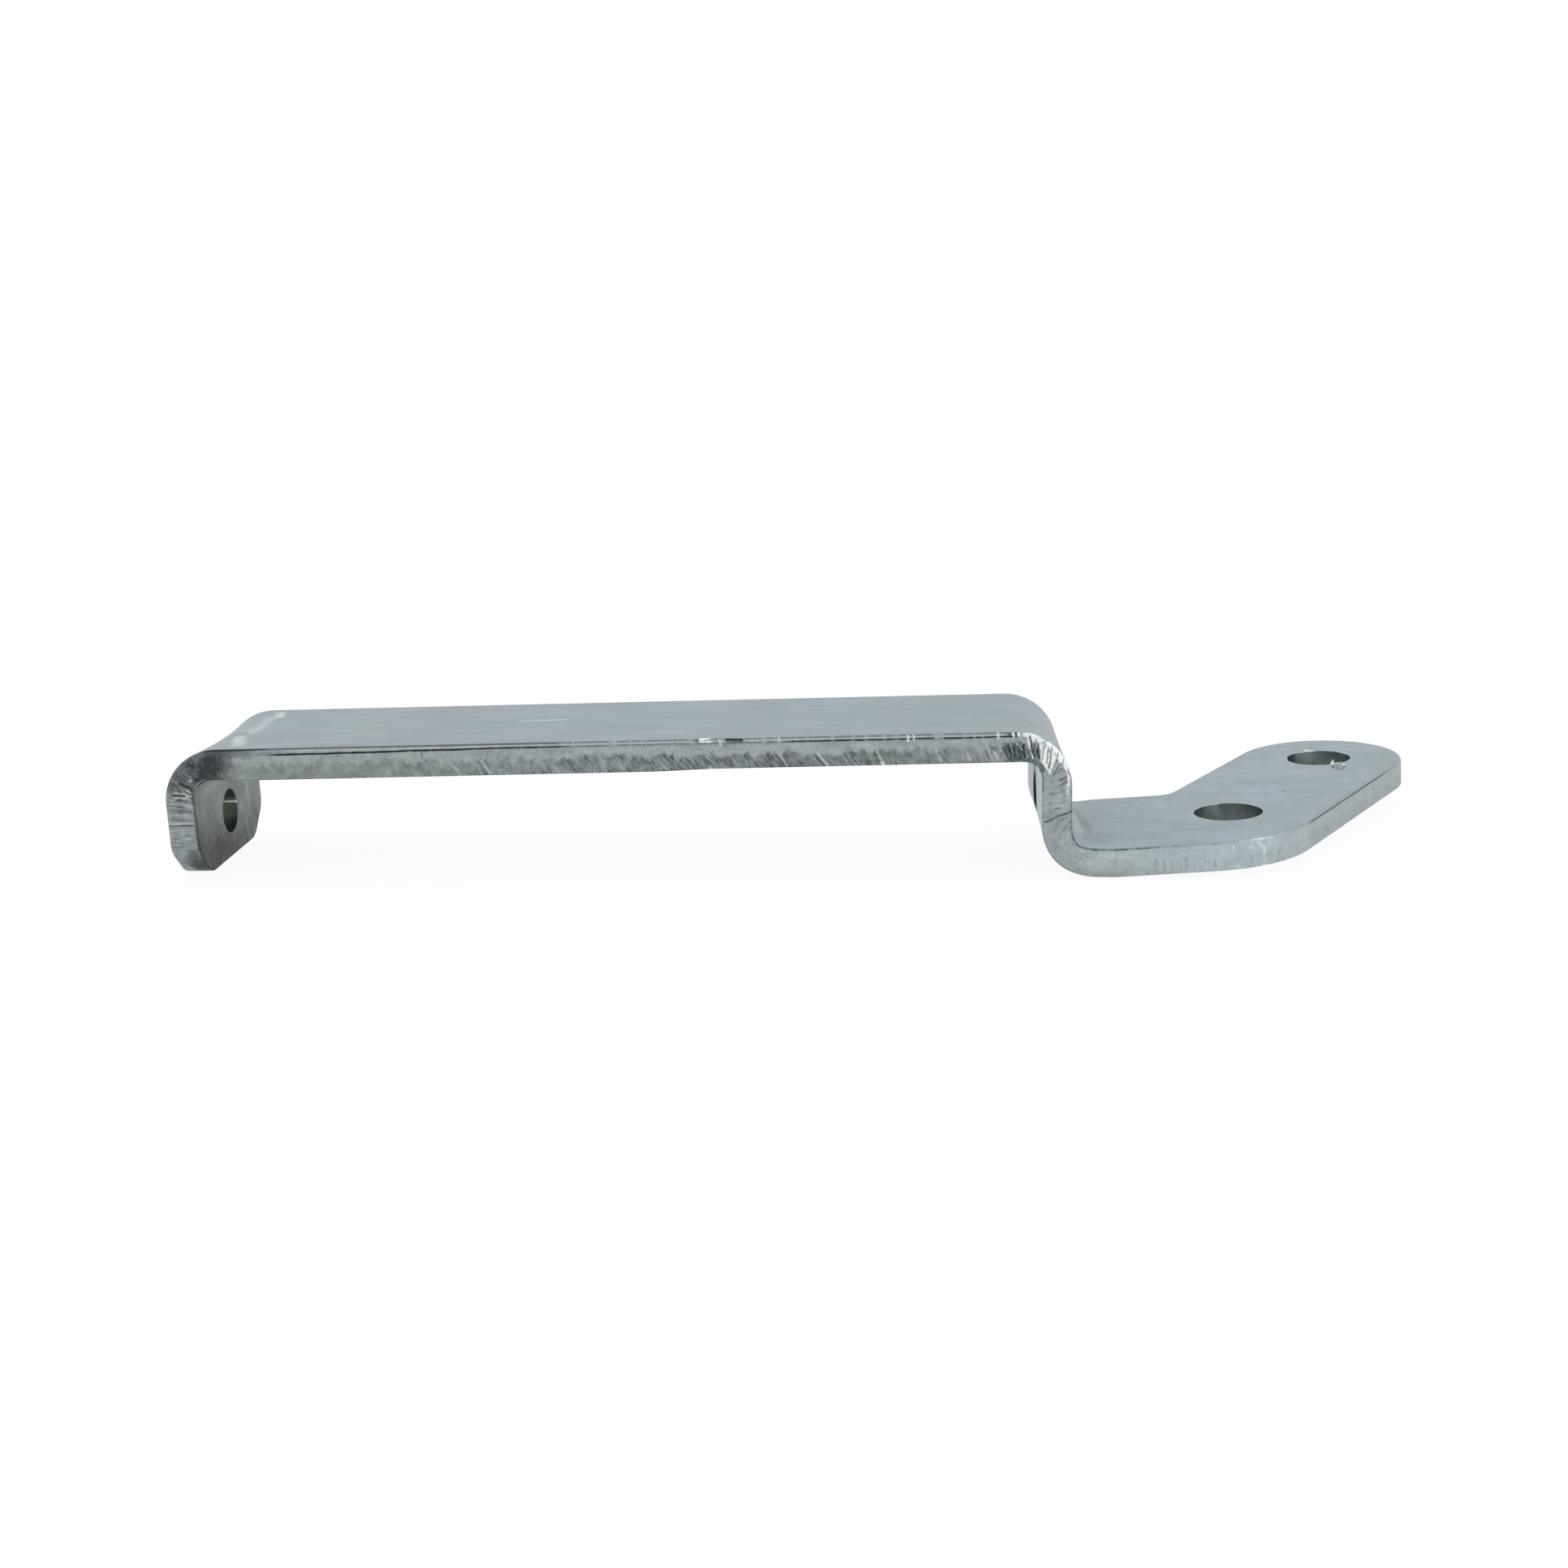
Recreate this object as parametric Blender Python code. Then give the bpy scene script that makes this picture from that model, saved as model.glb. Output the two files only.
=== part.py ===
"""Gate bracket: one strip of zinc-plated sheet steel, punched flat and folded three times.

A flat strip spans a gate's opening. Its left end is folded down as an ear, and its right end is folded down as a
short riser. One axle hole in each carries the two ends of a swinging wire gate. The riser is folded out again into a
low foot that turns off at an angle and ends round its second screw hole.

Frame: the origin is midway between the two screw holes, on the foot's underside. +X runs along the foot away from
the riser, +Y towards the foot's round end, and +Z up. The foot is level, so the strip climbs a little towards the ear.
"""
from math import atan2, cos, pi, radians, sin, tan

import bmesh
import bpy
from mathutils import Matrix, Vector

MM = 0.001

# Driving dimensions, in millimetres and degrees
SHEET = 1.6                 # sheet thickness
STRIP_WIDTH = 10.9          # strip, ear and riser, across
SPAN = 48.4                 # over the ear and the riser, along the strip
EAR_HEIGHT = 7.2            # strip's top face to the ear's lower end
STEP_HEIGHT = 6.45          # strip's top face to the foot's top face
TOP_BEND_INSIDE = 1.4       # inside radius of the ear's bend and of the riser's upper bend
FOOT_BEND_INSIDE = 1.3      # inside radius of the bend between riser and foot
FOOT_LEAN = 2.4             # the foot is folded this much past square, as on the real piece

AXLE_HOLE = 2.45            # diameter of the two holes for the gate's axle
AXLE_DROP = 4.65            # strip's top face to the axle
EAR_CLIP_ACROSS = 1.7       # what the ear's clipped corners take off its width, each side
EAR_CLIP_UP = 1.55          # what they take off its height
EAR_CLIP_ROUND = 1.35       # rounding of the two ends of each clip

SCREW_HOLE = 3.8            # diameter of the two screw holes in the foot
SCREW_SPACING = 13.6        # between their centres
LEG_ANGLE = 57.0            # the line through both screw holes, from the strip's own direction
LEG_WIDTH = 9.8             # the leg that follows this line, across; its end is a half circle
SCREW_TO_RISER = 9.2        # riser's outer face to the first screw hole
SCREW_TO_EDGE = 6.15        # foot's straight edge to the first screw hole
OUTER_CORNER = 6.5          # rounding where the straight edge turns into the leg
INNER_CORNER = 1.2          # rounding of the notch opposite

DIE_ROLL = 0.24             # rounding that the punch leaves along the upper side of every cut edge

# Fineness of the round forms
ARC_STEP = radians(9.0)     # a corner's arc, for each piece
HOLE_SIDES = 40
ROLL_STEPS = 3
BEND_PIECES = 10            # each fold
SAME_PLACE = 1e-5           # points closer than this are one point
SHARP_EDGE = radians(25.0)  # edges that turn more than this stay crisp when shaded

ZINC_COLOUR = (0.40, 0.45, 0.48, 1.0)

# The two screw holes lie on one line through the origin.
LEG_ALONG = Vector((cos(radians(LEG_ANGLE)), sin(radians(LEG_ANGLE))))
LEG_ASIDE = Vector((LEG_ALONG.y, -LEG_ALONG.x))
FIRST_SCREW = -LEG_ALONG * SCREW_SPACING / 2
SECOND_SCREW = LEG_ALONG * SCREW_SPACING / 2

# Edges of the strip, across
NEAR_EDGE = FIRST_SCREW.y - SCREW_TO_EDGE
FAR_EDGE = NEAR_EDGE + STRIP_WIDTH
MIDDLE = (NEAR_EDGE + FAR_EDGE) / 2

# Folds, as radius of the middle of the sheet and angle turned; the sheet keeps its length along that middle.
TOP_BEND_OUTSIDE = TOP_BEND_INSIDE + SHEET
TOP_BEND_MIDDLE = TOP_BEND_INSIDE + SHEET / 2
FOOT_BEND_MIDDLE = FOOT_BEND_INSIDE + SHEET / 2
TOP_TURN = pi / 2
FOOT_TURN = pi / 2 + radians(FOOT_LEAN)

# Flat stretches between the folds
STRIP_FLAT = SPAN - 2 * TOP_BEND_OUTSIDE
RISER_FLAT = STEP_HEIGHT - TOP_BEND_OUTSIDE - FOOT_BEND_INSIDE
EAR_FLAT = EAR_HEIGHT - TOP_BEND_OUTSIDE

# Places along the flat blank. It shares its X with the finished foot and runs on to the left, unfolded.
FOOT_START = FIRST_SCREW.x - (SCREW_TO_RISER - FOOT_BEND_INSIDE)
RISER_FOOT_END = FOOT_START - FOOT_BEND_MIDDLE * FOOT_TURN
RISER_TOP_END = RISER_FOOT_END - RISER_FLAT
STRIP_RISER_END = RISER_TOP_END - TOP_BEND_MIDDLE * TOP_TURN
STRIP_EAR_END = STRIP_RISER_END - STRIP_FLAT
EAR_TOP_END = STRIP_EAR_END - TOP_BEND_MIDDLE * TOP_TURN
EAR_TIP = EAR_TOP_END - EAR_FLAT

# The axle holes, which face each other once the strip is folded
AXLE_BELOW_BEND = AXLE_DROP - TOP_BEND_OUTSIDE
EAR_AXLE = Vector((EAR_TOP_END - AXLE_BELOW_BEND, MIDDLE))
RISER_AXLE = Vector((RISER_TOP_END + AXLE_BELOW_BEND, MIDDLE))

HOLES = (
    (EAR_AXLE, AXLE_HOLE / 2),
    (RISER_AXLE, AXLE_HOLE / 2),
    (FIRST_SCREW, SCREW_HOLE / 2),
    (SECOND_SCREW, SCREW_HOLE / 2),
)


def crossing(point, along, y):
    """Where the line through point meets the height y of the blank's plan."""
    return point + along * (y - point.y) / along.y


def blank_corners():
    """The blank's corners, anticlockwise from the ear's near side, each with its rounding."""
    half = LEG_WIDTH / 2
    near_side = SECOND_SCREW + LEG_ASIDE * half
    far_side = SECOND_SCREW - LEG_ASIDE * half
    return [
        (Vector((EAR_TIP + EAR_CLIP_UP, NEAR_EDGE)), EAR_CLIP_ROUND),
        (crossing(near_side, LEG_ALONG, NEAR_EDGE), OUTER_CORNER),
        (near_side + LEG_ALONG * half, half),
        (far_side + LEG_ALONG * half, half),
        (crossing(far_side, LEG_ALONG, FAR_EDGE), INNER_CORNER),
        (Vector((EAR_TIP + EAR_CLIP_UP, FAR_EDGE)), EAR_CLIP_ROUND),
        (Vector((EAR_TIP, FAR_EDGE - EAR_CLIP_ACROSS)), EAR_CLIP_ROUND),
        (Vector((EAR_TIP, NEAR_EDGE + EAR_CLIP_ACROSS)), EAR_CLIP_ROUND),
    ]


def inset_corner(before, corner, after, inset):
    """The corner after both of its sides have moved inwards by inset, with the turn from one side to the other."""
    arriving = (corner - before).normalized()
    leaving = (after - corner).normalized()
    turn = atan2(arriving.cross(leaving), arriving.dot(leaving))
    inward = Vector((-arriving.y, arriving.x))
    return corner + (inward - arriving * tan(turn / 2)) * inset, arriving, turn


def blank_outline(inset):
    """The blank's outline moved inwards by inset: straight sides joined by arcs, with as many points at any inset."""
    corners = blank_corners()
    points = []
    for index, (corner, rounding) in enumerate(corners):
        before = corners[index - 1][0]
        after = corners[(index + 1) % len(corners)][0]
        corner, arriving, turn = inset_corner(before, corner, after, inset)
        side = 1 if turn > 0 else -1
        radius = rounding - side * inset
        start = corner - arriving * radius * abs(tan(turn / 2))
        centre = start + Vector((-arriving.y, arriving.x)) * side * radius
        pieces = max(2, round(abs(turn) / ARC_STEP))
        for piece in range(pieces + 1):
            spoke = start - centre
            spoke.rotate(Matrix.Rotation(turn * piece / pieces, 2))
            point = centre + spoke
            if not points or (point - points[-1]).length > SAME_PLACE:
                points.append(point)
    return points


def hole_outline(centre, radius):
    """A hole's rim as a ring of points."""
    return [
        centre + Vector((cos(2 * pi * side / HOLE_SIDES), sin(2 * pi * side / HOLE_SIDES))) * radius
        for side in range(HOLE_SIDES)
    ]


def wall_levels():
    """Heights in the sheet and how far the cut edge has rolled in there: square below, rounded at the top."""
    levels = [(0.0, 0.0)]
    for step in range(ROLL_STEPS + 1):
        angle = pi / 2 * step / ROLL_STEPS
        levels.append((SHEET - DIE_ROLL * (1 - sin(angle)), DIE_ROLL * (1 - cos(angle))))
    return levels


def add_loop(mesh, points, height):
    """A closed loop of edges at one height."""
    verts = [mesh.verts.new((point.x, point.y, height)) for point in points]
    edges = [mesh.edges.new((verts[index - 1], vert)) for index, vert in enumerate(verts)]
    return verts, edges


def add_wall(mesh, outline_at):
    """The cut edge round one outline. Returns its lowest and its highest edges."""
    rings = [add_loop(mesh, outline_at(inset), height) for height, inset in wall_levels()]
    for (lower, _), (upper, _) in zip(rings, rings[1:]):
        for index in range(len(lower)):
            mesh.faces.new((lower[index - 1], lower[index], upper[index], upper[index - 1]))
    return rings[0][1], rings[-1][1]


def punch_blank(mesh):
    """The flat blank: outline and four holes, all with a die roll on the upper side."""
    walls = [add_wall(mesh, blank_outline)]
    for centre, radius in HOLES:
        walls.append(add_wall(mesh, lambda inset, c=centre, r=radius: hole_outline(c, r + inset)))
    for level in (0, 1):
        edges = [edge for wall in walls for edge in wall[level]]
        bmesh.ops.triangle_fill(mesh, edges=edges, use_beauty=True)
    bmesh.ops.recalc_face_normals(mesh, faces=mesh.faces)


def folds():
    """Each fold as its first and last place on the blank, from the foot towards the ear, and its radius and turn."""
    return (
        (FOOT_START, RISER_FOOT_END, FOOT_BEND_MIDDLE, -FOOT_TURN),
        (RISER_TOP_END, STRIP_RISER_END, TOP_BEND_MIDDLE, TOP_TURN),
        (STRIP_EAR_END, EAR_TOP_END, TOP_BEND_MIDDLE, TOP_TURN),
    )


def score_folds(mesh):
    """Cuts the blank's faces across at even steps through each fold, so that it can bend there."""
    for start, end, _, _ in folds():
        for piece in range(BEND_PIECES + 1):
            across = Vector((start + (end - start) * piece / BEND_PIECES, 0, 0))
            everything = mesh.verts[:] + mesh.edges[:] + mesh.faces[:]
            bmesh.ops.bisect_plane(mesh, geom=everything, dist=SAME_PLACE, plane_co=across, plane_no=(1, 0, 0))


def folded(x, height):
    """Where a point of the blank's long section lies after folding, as X and Z.

    It walks from the foot towards the ear along the middle of the sheet. The heading turns left in the two upper
    folds and right in the foot's, and the sheet's upper side is always on the walker's right.
    """
    spot = Vector((max(x, FOOT_START), SHEET / 2))
    heading = pi
    reached = FOOT_START
    for start, end, radius, turn in folds():
        side = 1 if turn > 0 else -1
        spot += Vector((cos(heading), sin(heading))) * max(0.0, reached - max(x, start))
        centre = spot + Vector((-sin(heading), cos(heading))) * radius * side
        heading += min(max(0.0, start - x), start - end) / radius * side
        spot = centre - Vector((-sin(heading), cos(heading))) * radius * side
        reached = end
    spot += Vector((cos(heading), sin(heading))) * max(0.0, reached - x)
    right = Vector((sin(heading), -cos(heading)))
    return spot + right * (height - SHEET / 2)


def fold_blank(mesh):
    """Folds the scored blank and brings it from millimetres to metres."""
    for vert in mesh.verts:
        place = folded(vert.co.x, vert.co.z)
        vert.co = Vector((place.x, vert.co.y, place.y)) * MM


def zinc_plate():
    """Bright zinc plate on steel: cool grey, half matt."""
    material = bpy.data.materials.new("zinc_plate")
    material.use_nodes = True
    shader = material.node_tree.nodes["Principled BSDF"]
    shader.inputs["Base Color"].default_value = ZINC_COLOUR
    shader.inputs["Metallic"].default_value = 1.0
    shader.inputs["Roughness"].default_value = 0.38
    material.diffuse_color = ZINC_COLOUR
    return material


def gate_bracket():
    """Punches and folds the bracket."""
    mesh = bmesh.new()
    punch_blank(mesh)
    score_folds(mesh)
    fold_blank(mesh)
    bmesh.ops.triangulate(mesh, faces=mesh.faces)
    data = bpy.data.meshes.new("gate_bracket")
    mesh.to_mesh(data)
    mesh.free()
    data.materials.append(zinc_plate())
    data.shade_smooth()
    data.set_sharp_from_angle(angle=SHARP_EDGE)
    bracket = bpy.data.objects.new("gate_bracket", data)
    bpy.context.collection.objects.link(bracket)
    return bracket


def main():
    for old in list(bpy.data.objects):
        bpy.data.objects.remove(old)
    gate_bracket()


main()
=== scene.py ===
"""Gate bracket: a punched and folded strip of zinc-plated sheet steel, on a pale studio floor.

The sheet is punched flat with its sheared edges, its wear is pressed into it, and then it is folded three
times. Lengths inside the functions are in millimetres on the flat sheet. The finished meshes are in metres.
"""
from math import atan2, ceil, cos, pi, radians, sin, tan

import bmesh
import bpy
import numpy as np
from bpy.props import FloatProperty, FloatVectorProperty, IntProperty, PointerProperty
from mathutils import Matrix, Vector
from mathutils.geometry import delaunay_2d_cdt


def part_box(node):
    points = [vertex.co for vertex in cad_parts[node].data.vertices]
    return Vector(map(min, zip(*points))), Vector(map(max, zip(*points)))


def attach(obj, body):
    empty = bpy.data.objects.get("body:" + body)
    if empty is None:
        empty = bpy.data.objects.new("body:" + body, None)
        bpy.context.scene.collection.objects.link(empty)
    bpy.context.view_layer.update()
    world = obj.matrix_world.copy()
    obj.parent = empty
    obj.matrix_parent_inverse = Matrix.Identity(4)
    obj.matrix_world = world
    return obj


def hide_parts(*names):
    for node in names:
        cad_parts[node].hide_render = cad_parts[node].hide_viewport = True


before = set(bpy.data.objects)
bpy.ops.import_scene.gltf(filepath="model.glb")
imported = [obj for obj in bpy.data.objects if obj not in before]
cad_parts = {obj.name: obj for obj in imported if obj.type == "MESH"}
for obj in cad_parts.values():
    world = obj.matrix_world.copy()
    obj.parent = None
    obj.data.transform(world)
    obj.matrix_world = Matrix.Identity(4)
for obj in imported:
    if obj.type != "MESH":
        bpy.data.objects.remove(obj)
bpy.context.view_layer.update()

bl_info = {
    "name": "Gate Bracket",
    "version": (1, 0, 0),
    "blender": (4, 5, 0),
    "location": "3D View > Sidebar > Gate Bracket",
    "description": "Punches, wears and folds a zinc-plated gate bracket and sets a pale studio round it",
    "category": "Object",
}

MM = 0.001
NODE = "gate_bracket"
BODY = "root"


def length(name, description, millimetres):
    """A size that a user may change, kept in metres."""
    return FloatProperty(
        name=name, description=description, default=millimetres * MM, min=0.0, unit="LENGTH", precision=5
    )


def angle(name, description, degrees):
    """An angle that a user may change."""
    return FloatProperty(name=name, description=description, default=radians(degrees), subtype="ANGLE")


def share(name, description, default, most=1.0):
    """A plain number from 0 to most."""
    return FloatProperty(name=name, description=description, default=default, min=0.0, max=most)


def colour(name, description, red, green, blue):
    """A colour that a user may change."""
    return FloatVectorProperty(
        name=name, description=description, default=(red, green, blue), min=0.0, max=1.0, subtype="COLOR"
    )


def add_object(name, data):
    """A new object in the scene."""
    made = bpy.data.objects.new(name, data)
    bpy.context.scene.collection.objects.link(made)
    return made


class BracketSizes(bpy.types.PropertyGroup):
    """Sizes of the sheet, its folds and its holes."""

    sheet: length("Sheet", "Thickness of the steel sheet", 1.6)
    strip_width: length("Strip Width", "Width of strip, ear and riser", 10.9)
    span: length("Span", "Over the ear and the riser, along the strip", 48.4)
    ear_height: length("Ear Height", "Strip's top face to the ear's lower end", 7.2)
    step_height: length("Step Height", "Strip's top face to the foot's top face", 6.45)
    top_bend: length("Upper Bends", "Inside radius of the ear's bend and of the riser's upper bend", 1.4)
    foot_bend: length("Foot Bend", "Inside radius of the bend between riser and foot", 1.3)
    foot_lean: angle("Foot Lean", "How far past square the foot is folded", 2.4)
    axle_hole: length("Axle Holes", "Diameter of the two holes for the gate's axle", 2.45)
    axle_drop: length("Axle Drop", "Strip's top face to the axle", 4.65)
    clip_across: length("Clip Across", "What the ear's clipped corners take off its width, each side", 1.7)
    clip_up: length("Clip Up", "What the ear's clipped corners take off its height", 1.55)
    clip_round: length("Clip Rounding", "Rounding of the two ends of each clip", 1.35)
    screw_hole: length("Screw Holes", "Diameter of the two screw holes in the foot", 3.8)
    screw_spacing: length("Screw Spacing", "Between the centres of the screw holes", 13.6)
    leg_angle: angle("Leg Angle", "Line through both screw holes, from the strip's own direction", 57.0)
    leg_width: length("Leg Width", "Width of the leg that follows the screw holes", 9.8)
    screw_to_riser: length("Screw To Riser", "Riser's outer face to the first screw hole", 9.2)
    screw_to_edge: length("Screw To Edge", "Foot's straight edge to the first screw hole", 6.15)
    outer_corner: length("Outer Corner", "Rounding where the straight edge turns into the leg", 6.5)
    inner_corner: length("Inner Corner", "Rounding of the notch opposite the outer corner", 1.2)
    die_roll: length("Die Roll", "Rounding that the punch leaves along the upper side of the outline", 0.24)
    hole_roll: length("Hole Rounding", "Rounding of the holes' upper rims", 0.05)


class EdgeWear(bpy.types.PropertyGroup):
    """How deeply punching and folding have marked the cut edges."""

    tear: length("Tear Depth", "Depth of the slanting tears in the lower part of the cut edge", 0.055)
    ridge: length("Ridge Depth", "Depth of the ridges across the ear's cut edge", 0.04)
    pleat: length("Pleat Depth", "Depth of the pleats in the stretched edge of the riser's upper bend", 0.05)
    groove: length("Roll Groove", "Depth of the fine groove under the die roll", 0.04)
    bulge: length("Bend Bulge", "How far the inner side of each bend is squeezed out of the cut edge", 0.09)
    saddle: length("Bend Saddle", "How far the middle of a bend's width lies inside its two edges", 0.20)
    thin: length("Bend Thinning", "How much thinner the sheet is in the middle of each bend", 0.20)
    rise: length("Foot Rise", "How far the foot's underside lifts early, just before its bend", 0.09)
    lip: length("Lower Lip", "Unevenness of the edge round the lower side", 0.02)
    drag: length("Drawn Lip", "How far the punch has drawn the strip's lower edge down", 0.09)
    ragged: length("Ragged Rims", "How far torn lips stand in from the screw holes' upper rims", 0.20)
    burr: share("Burr Size", "Size of the burrs and torn flakes", 1.0, 3.0)
    curl: share("Burr Curl", "How much burrs and flakes curl up", 0.5, 2.0)
    seed: IntProperty(name="Seed", description="Changes where the wear falls", default=3, min=0)


class ZincFinish(bpy.types.PropertyGroup):
    """Colours and shine of the zinc plate."""

    face: colour("Face", "Plated face of the sheet", 0.277, 0.335, 0.376)
    # Darker than the face, as duller plate and as painted shade
    inner: colour("Inner Face", "Duller plate on the ear's inner side", 0.138, 0.170, 0.165)
    edge: colour("Cut Edge", "Burnished upper part of the cut edge", 0.330, 0.372, 0.382)
    edge_olive: colour("Edge Tint", "Olive tint on the left of the strip's cut edge", 0.298, 0.350, 0.300)
    # Lighter than the strip's edge, as a painted reflection of the bright floor
    edge_floor_reflection: colour("Clean Edge", "Cleaner cut edge of the foot", 0.412, 0.468, 0.492)
    # Also painted as shade low in the ear's hole
    stain: colour("Stain", "Dark stain on the cut edge of the ear's bend", 0.049, 0.055, 0.063)
    # Also painted as highlights and glints
    bright: colour("Bright Metal", "Where plate is rubbed bright or freshly torn", 0.95, 1.0, 1.0)
    slate: colour("Slate", "Dark torn metal under the pleats of the riser's upper bend", 0.074, 0.108, 0.128)
    # Painted shade in grooves, cracks, creases, holes and under the die roll
    crevice_shade: colour("Crevice", "Bottom of grooves, cracks and creases", 0.020, 0.026, 0.028)
    # Darker than the plate, as painted shade inside the holes
    bore: colour("Bore", "Walls of the holes", 0.153, 0.182, 0.180)
    roughness: share("Roughness", "Roughness of the plated face", 0.42)
    grain: share("Grain", "Strength of the rolling grain along the sheet", 0.5)


class StudioSet(bpy.types.PropertyGroup):
    """Floor, light and camera."""

    floor: colour("Floor", "Pale floor", 1.0, 1.0, 1.0)
    key: share("Overhead Light", "Radiance of the overhead softbox", 0.6, 10.0)
    side: share("Side Light", "Radiance of the softbox on the right", 1.0, 10.0)
    room: share("Room Light", "Radiance of the pale room", 1.0, 10.0)
    dusk: share("Dim Side", "How much dimmer the room is in front of the bracket", 0.20)


class Blank:
    """The flat blank's places in millimetres, X along the sheet as the finished foot lies and Y across it."""

    def __init__(self, sizes):
        def mm(name):
            return getattr(sizes, name) / MM

        self.sheet = mm("sheet")
        self.roll = mm("die_roll")
        self.hole_roll = mm("hole_roll")
        self.top_radius = mm("top_bend") + self.sheet / 2
        self.foot_radius = mm("foot_bend") + self.sheet / 2
        self.top_turn = pi / 2
        self.foot_turn = pi / 2 + sizes.foot_lean
        outside = mm("top_bend") + self.sheet

        angle = sizes.leg_angle
        self.leg_along = Vector((cos(angle), sin(angle)))
        self.leg_aside = Vector((sin(angle), -cos(angle)))
        self.first_screw = -self.leg_along * mm("screw_spacing") / 2
        self.second_screw = self.leg_along * mm("screw_spacing") / 2
        self.near = self.first_screw.y - mm("screw_to_edge")
        self.far = self.near + mm("strip_width")
        self.middle = (self.near + self.far) / 2

        self.foot_start = self.first_screw.x - mm("screw_to_riser") + mm("foot_bend")
        self.riser_foot_end = self.foot_start - self.foot_radius * self.foot_turn
        self.riser_top_end = self.riser_foot_end - (mm("step_height") - outside - mm("foot_bend"))
        self.strip_riser_end = self.riser_top_end - self.top_radius * self.top_turn
        self.strip_ear_end = self.strip_riser_end - (mm("span") - 2 * outside)
        self.ear_top_end = self.strip_ear_end - self.top_radius * self.top_turn
        self.ear_tip = self.ear_top_end - (mm("ear_height") - outside)

        drop = mm("axle_drop") - outside
        self.ear_axle = Vector((self.ear_top_end - drop, self.middle))
        self.riser_axle = Vector((self.riser_top_end + drop, self.middle))
        self.axle_radius = mm("axle_hole") / 2
        self.screw_radius = mm("screw_hole") / 2
        self.corners = self._corners(mm)

    def _corners(self, mm):
        """Place, rounding and next side's step of each corner, anticlockwise from the ear's near side."""
        half = mm("leg_width") / 2
        near_side = self.second_screw + self.leg_aside * half
        far_side = self.second_screw - self.leg_aside * half

        def crossing(point, y):
            return point + self.leg_along * (y - point.y) / self.leg_along.y

        clipped = self.ear_tip + mm("clip_up")
        across = mm("clip_across")
        rounding = mm("clip_round")
        return [
            (Vector((clipped, self.near)), rounding, FINE_STEP),
            (crossing(near_side, self.near), mm("outer_corner"), LEG_STEP),
            (near_side + self.leg_along * half, half, LEG_STEP),
            (far_side + self.leg_along * half, half, FAR_STEP),
            (crossing(far_side, self.far), mm("inner_corner"), FAR_STEP),
            (Vector((clipped, self.far)), rounding, EAR_STEP),
            (Vector((self.ear_tip, self.far - across)), rounding, EAR_STEP),
            (Vector((self.ear_tip, self.near + across)), rounding, EAR_STEP),
        ]

    def folds(self):
        """Start, radius of the sheet's middle and turn of each fold, from the ear's to the foot's."""
        return (
            (self.strip_ear_end, self.top_radius, self.top_turn),
            (self.riser_top_end, self.top_radius, self.top_turn),
            (self.foot_start, self.foot_radius, -self.foot_turn),
        )

    def holes(self):
        """Centre and radius of each hole, axle holes first."""
        return (
            (self.ear_axle, self.axle_radius),
            (self.riser_axle, self.axle_radius),
            (self.first_screw, self.screw_radius),
            (self.second_screw, self.screw_radius),
        )

    def folded(self, x, y, height):
        """Where a point of the blank lies after folding, in metres."""
        place = Vector((x, y, height))
        for start, radius, turn in self.folds():
            bend = radius * abs(turn)
            slide = min(max(start - x, 0.0), bend)
            centre = Vector((start, 0.0, self.sheet / 2 - radius * (1 if turn > 0 else -1)))
            rolled = Matrix.Rotation(-turn * slide / bend, 3, "Y")
            place = rolled @ (place + Vector((slide, 0, 0)) - centre) + centre
            place.y = y
        return place * MM


# Fineness of the mesh, in millimetres and counts
FINE_STEP = 0.064           # along the near cut edge, which shows the most
FINEST_STEP = 0.032         # where that edge is ridged or pleated
FINEST_SPANS = ((-70.0, -63.0), (-21.2, -15.0))
LEG_STEP = 0.12             # along the leg
FAR_STEP = 0.18             # along the far cut edge
EAR_STEP = 0.075            # along the ear's end
BORE_STEP = 0.11
WALL_ROWS = 25              # through the sheet, under the die roll
ROLL_ROWS = 5               # round the die roll
FACE_STEP = 0.5             # inside the flat faces
BEND_STEP = 0.17            # inside the bends
HEM = 0.07                  # a narrow band inside each face's rim, which keeps the flat shading flat
LOWER_ROUND = 0.045         # the lower edge's rounding
LOWER_ROWS = 2
SAME_PLACE = 1e-4           # points closer than this are one point
FILL_PRECISION = 1e-7       # with which a face is filled
RIM_GAP = 0.22              # a face's inner points stay this far from its rims
BEND_MARGIN = 0.2           # points are as close beside a bend as in it
BLOCK = 500                 # points compared with a rim at a time

# What a point's bore attribute says. It is 0 away from the holes.
AXLE_BORE = 1.0
SCREW_BORE = 2.0


def stations(start, whole, step):
    """Shares of a straight run at which its points lie, closer together in the finest spans."""
    places = [0.0]
    while places[-1] < whole:
        here = start + places[-1]
        finest = step == FINE_STEP and any(low < here < high for low, high in FINEST_SPANS)
        places.append(places[-1] + (FINEST_STEP if finest else step))
    return [place / places[-1] for place in places[1:-1]]


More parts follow.
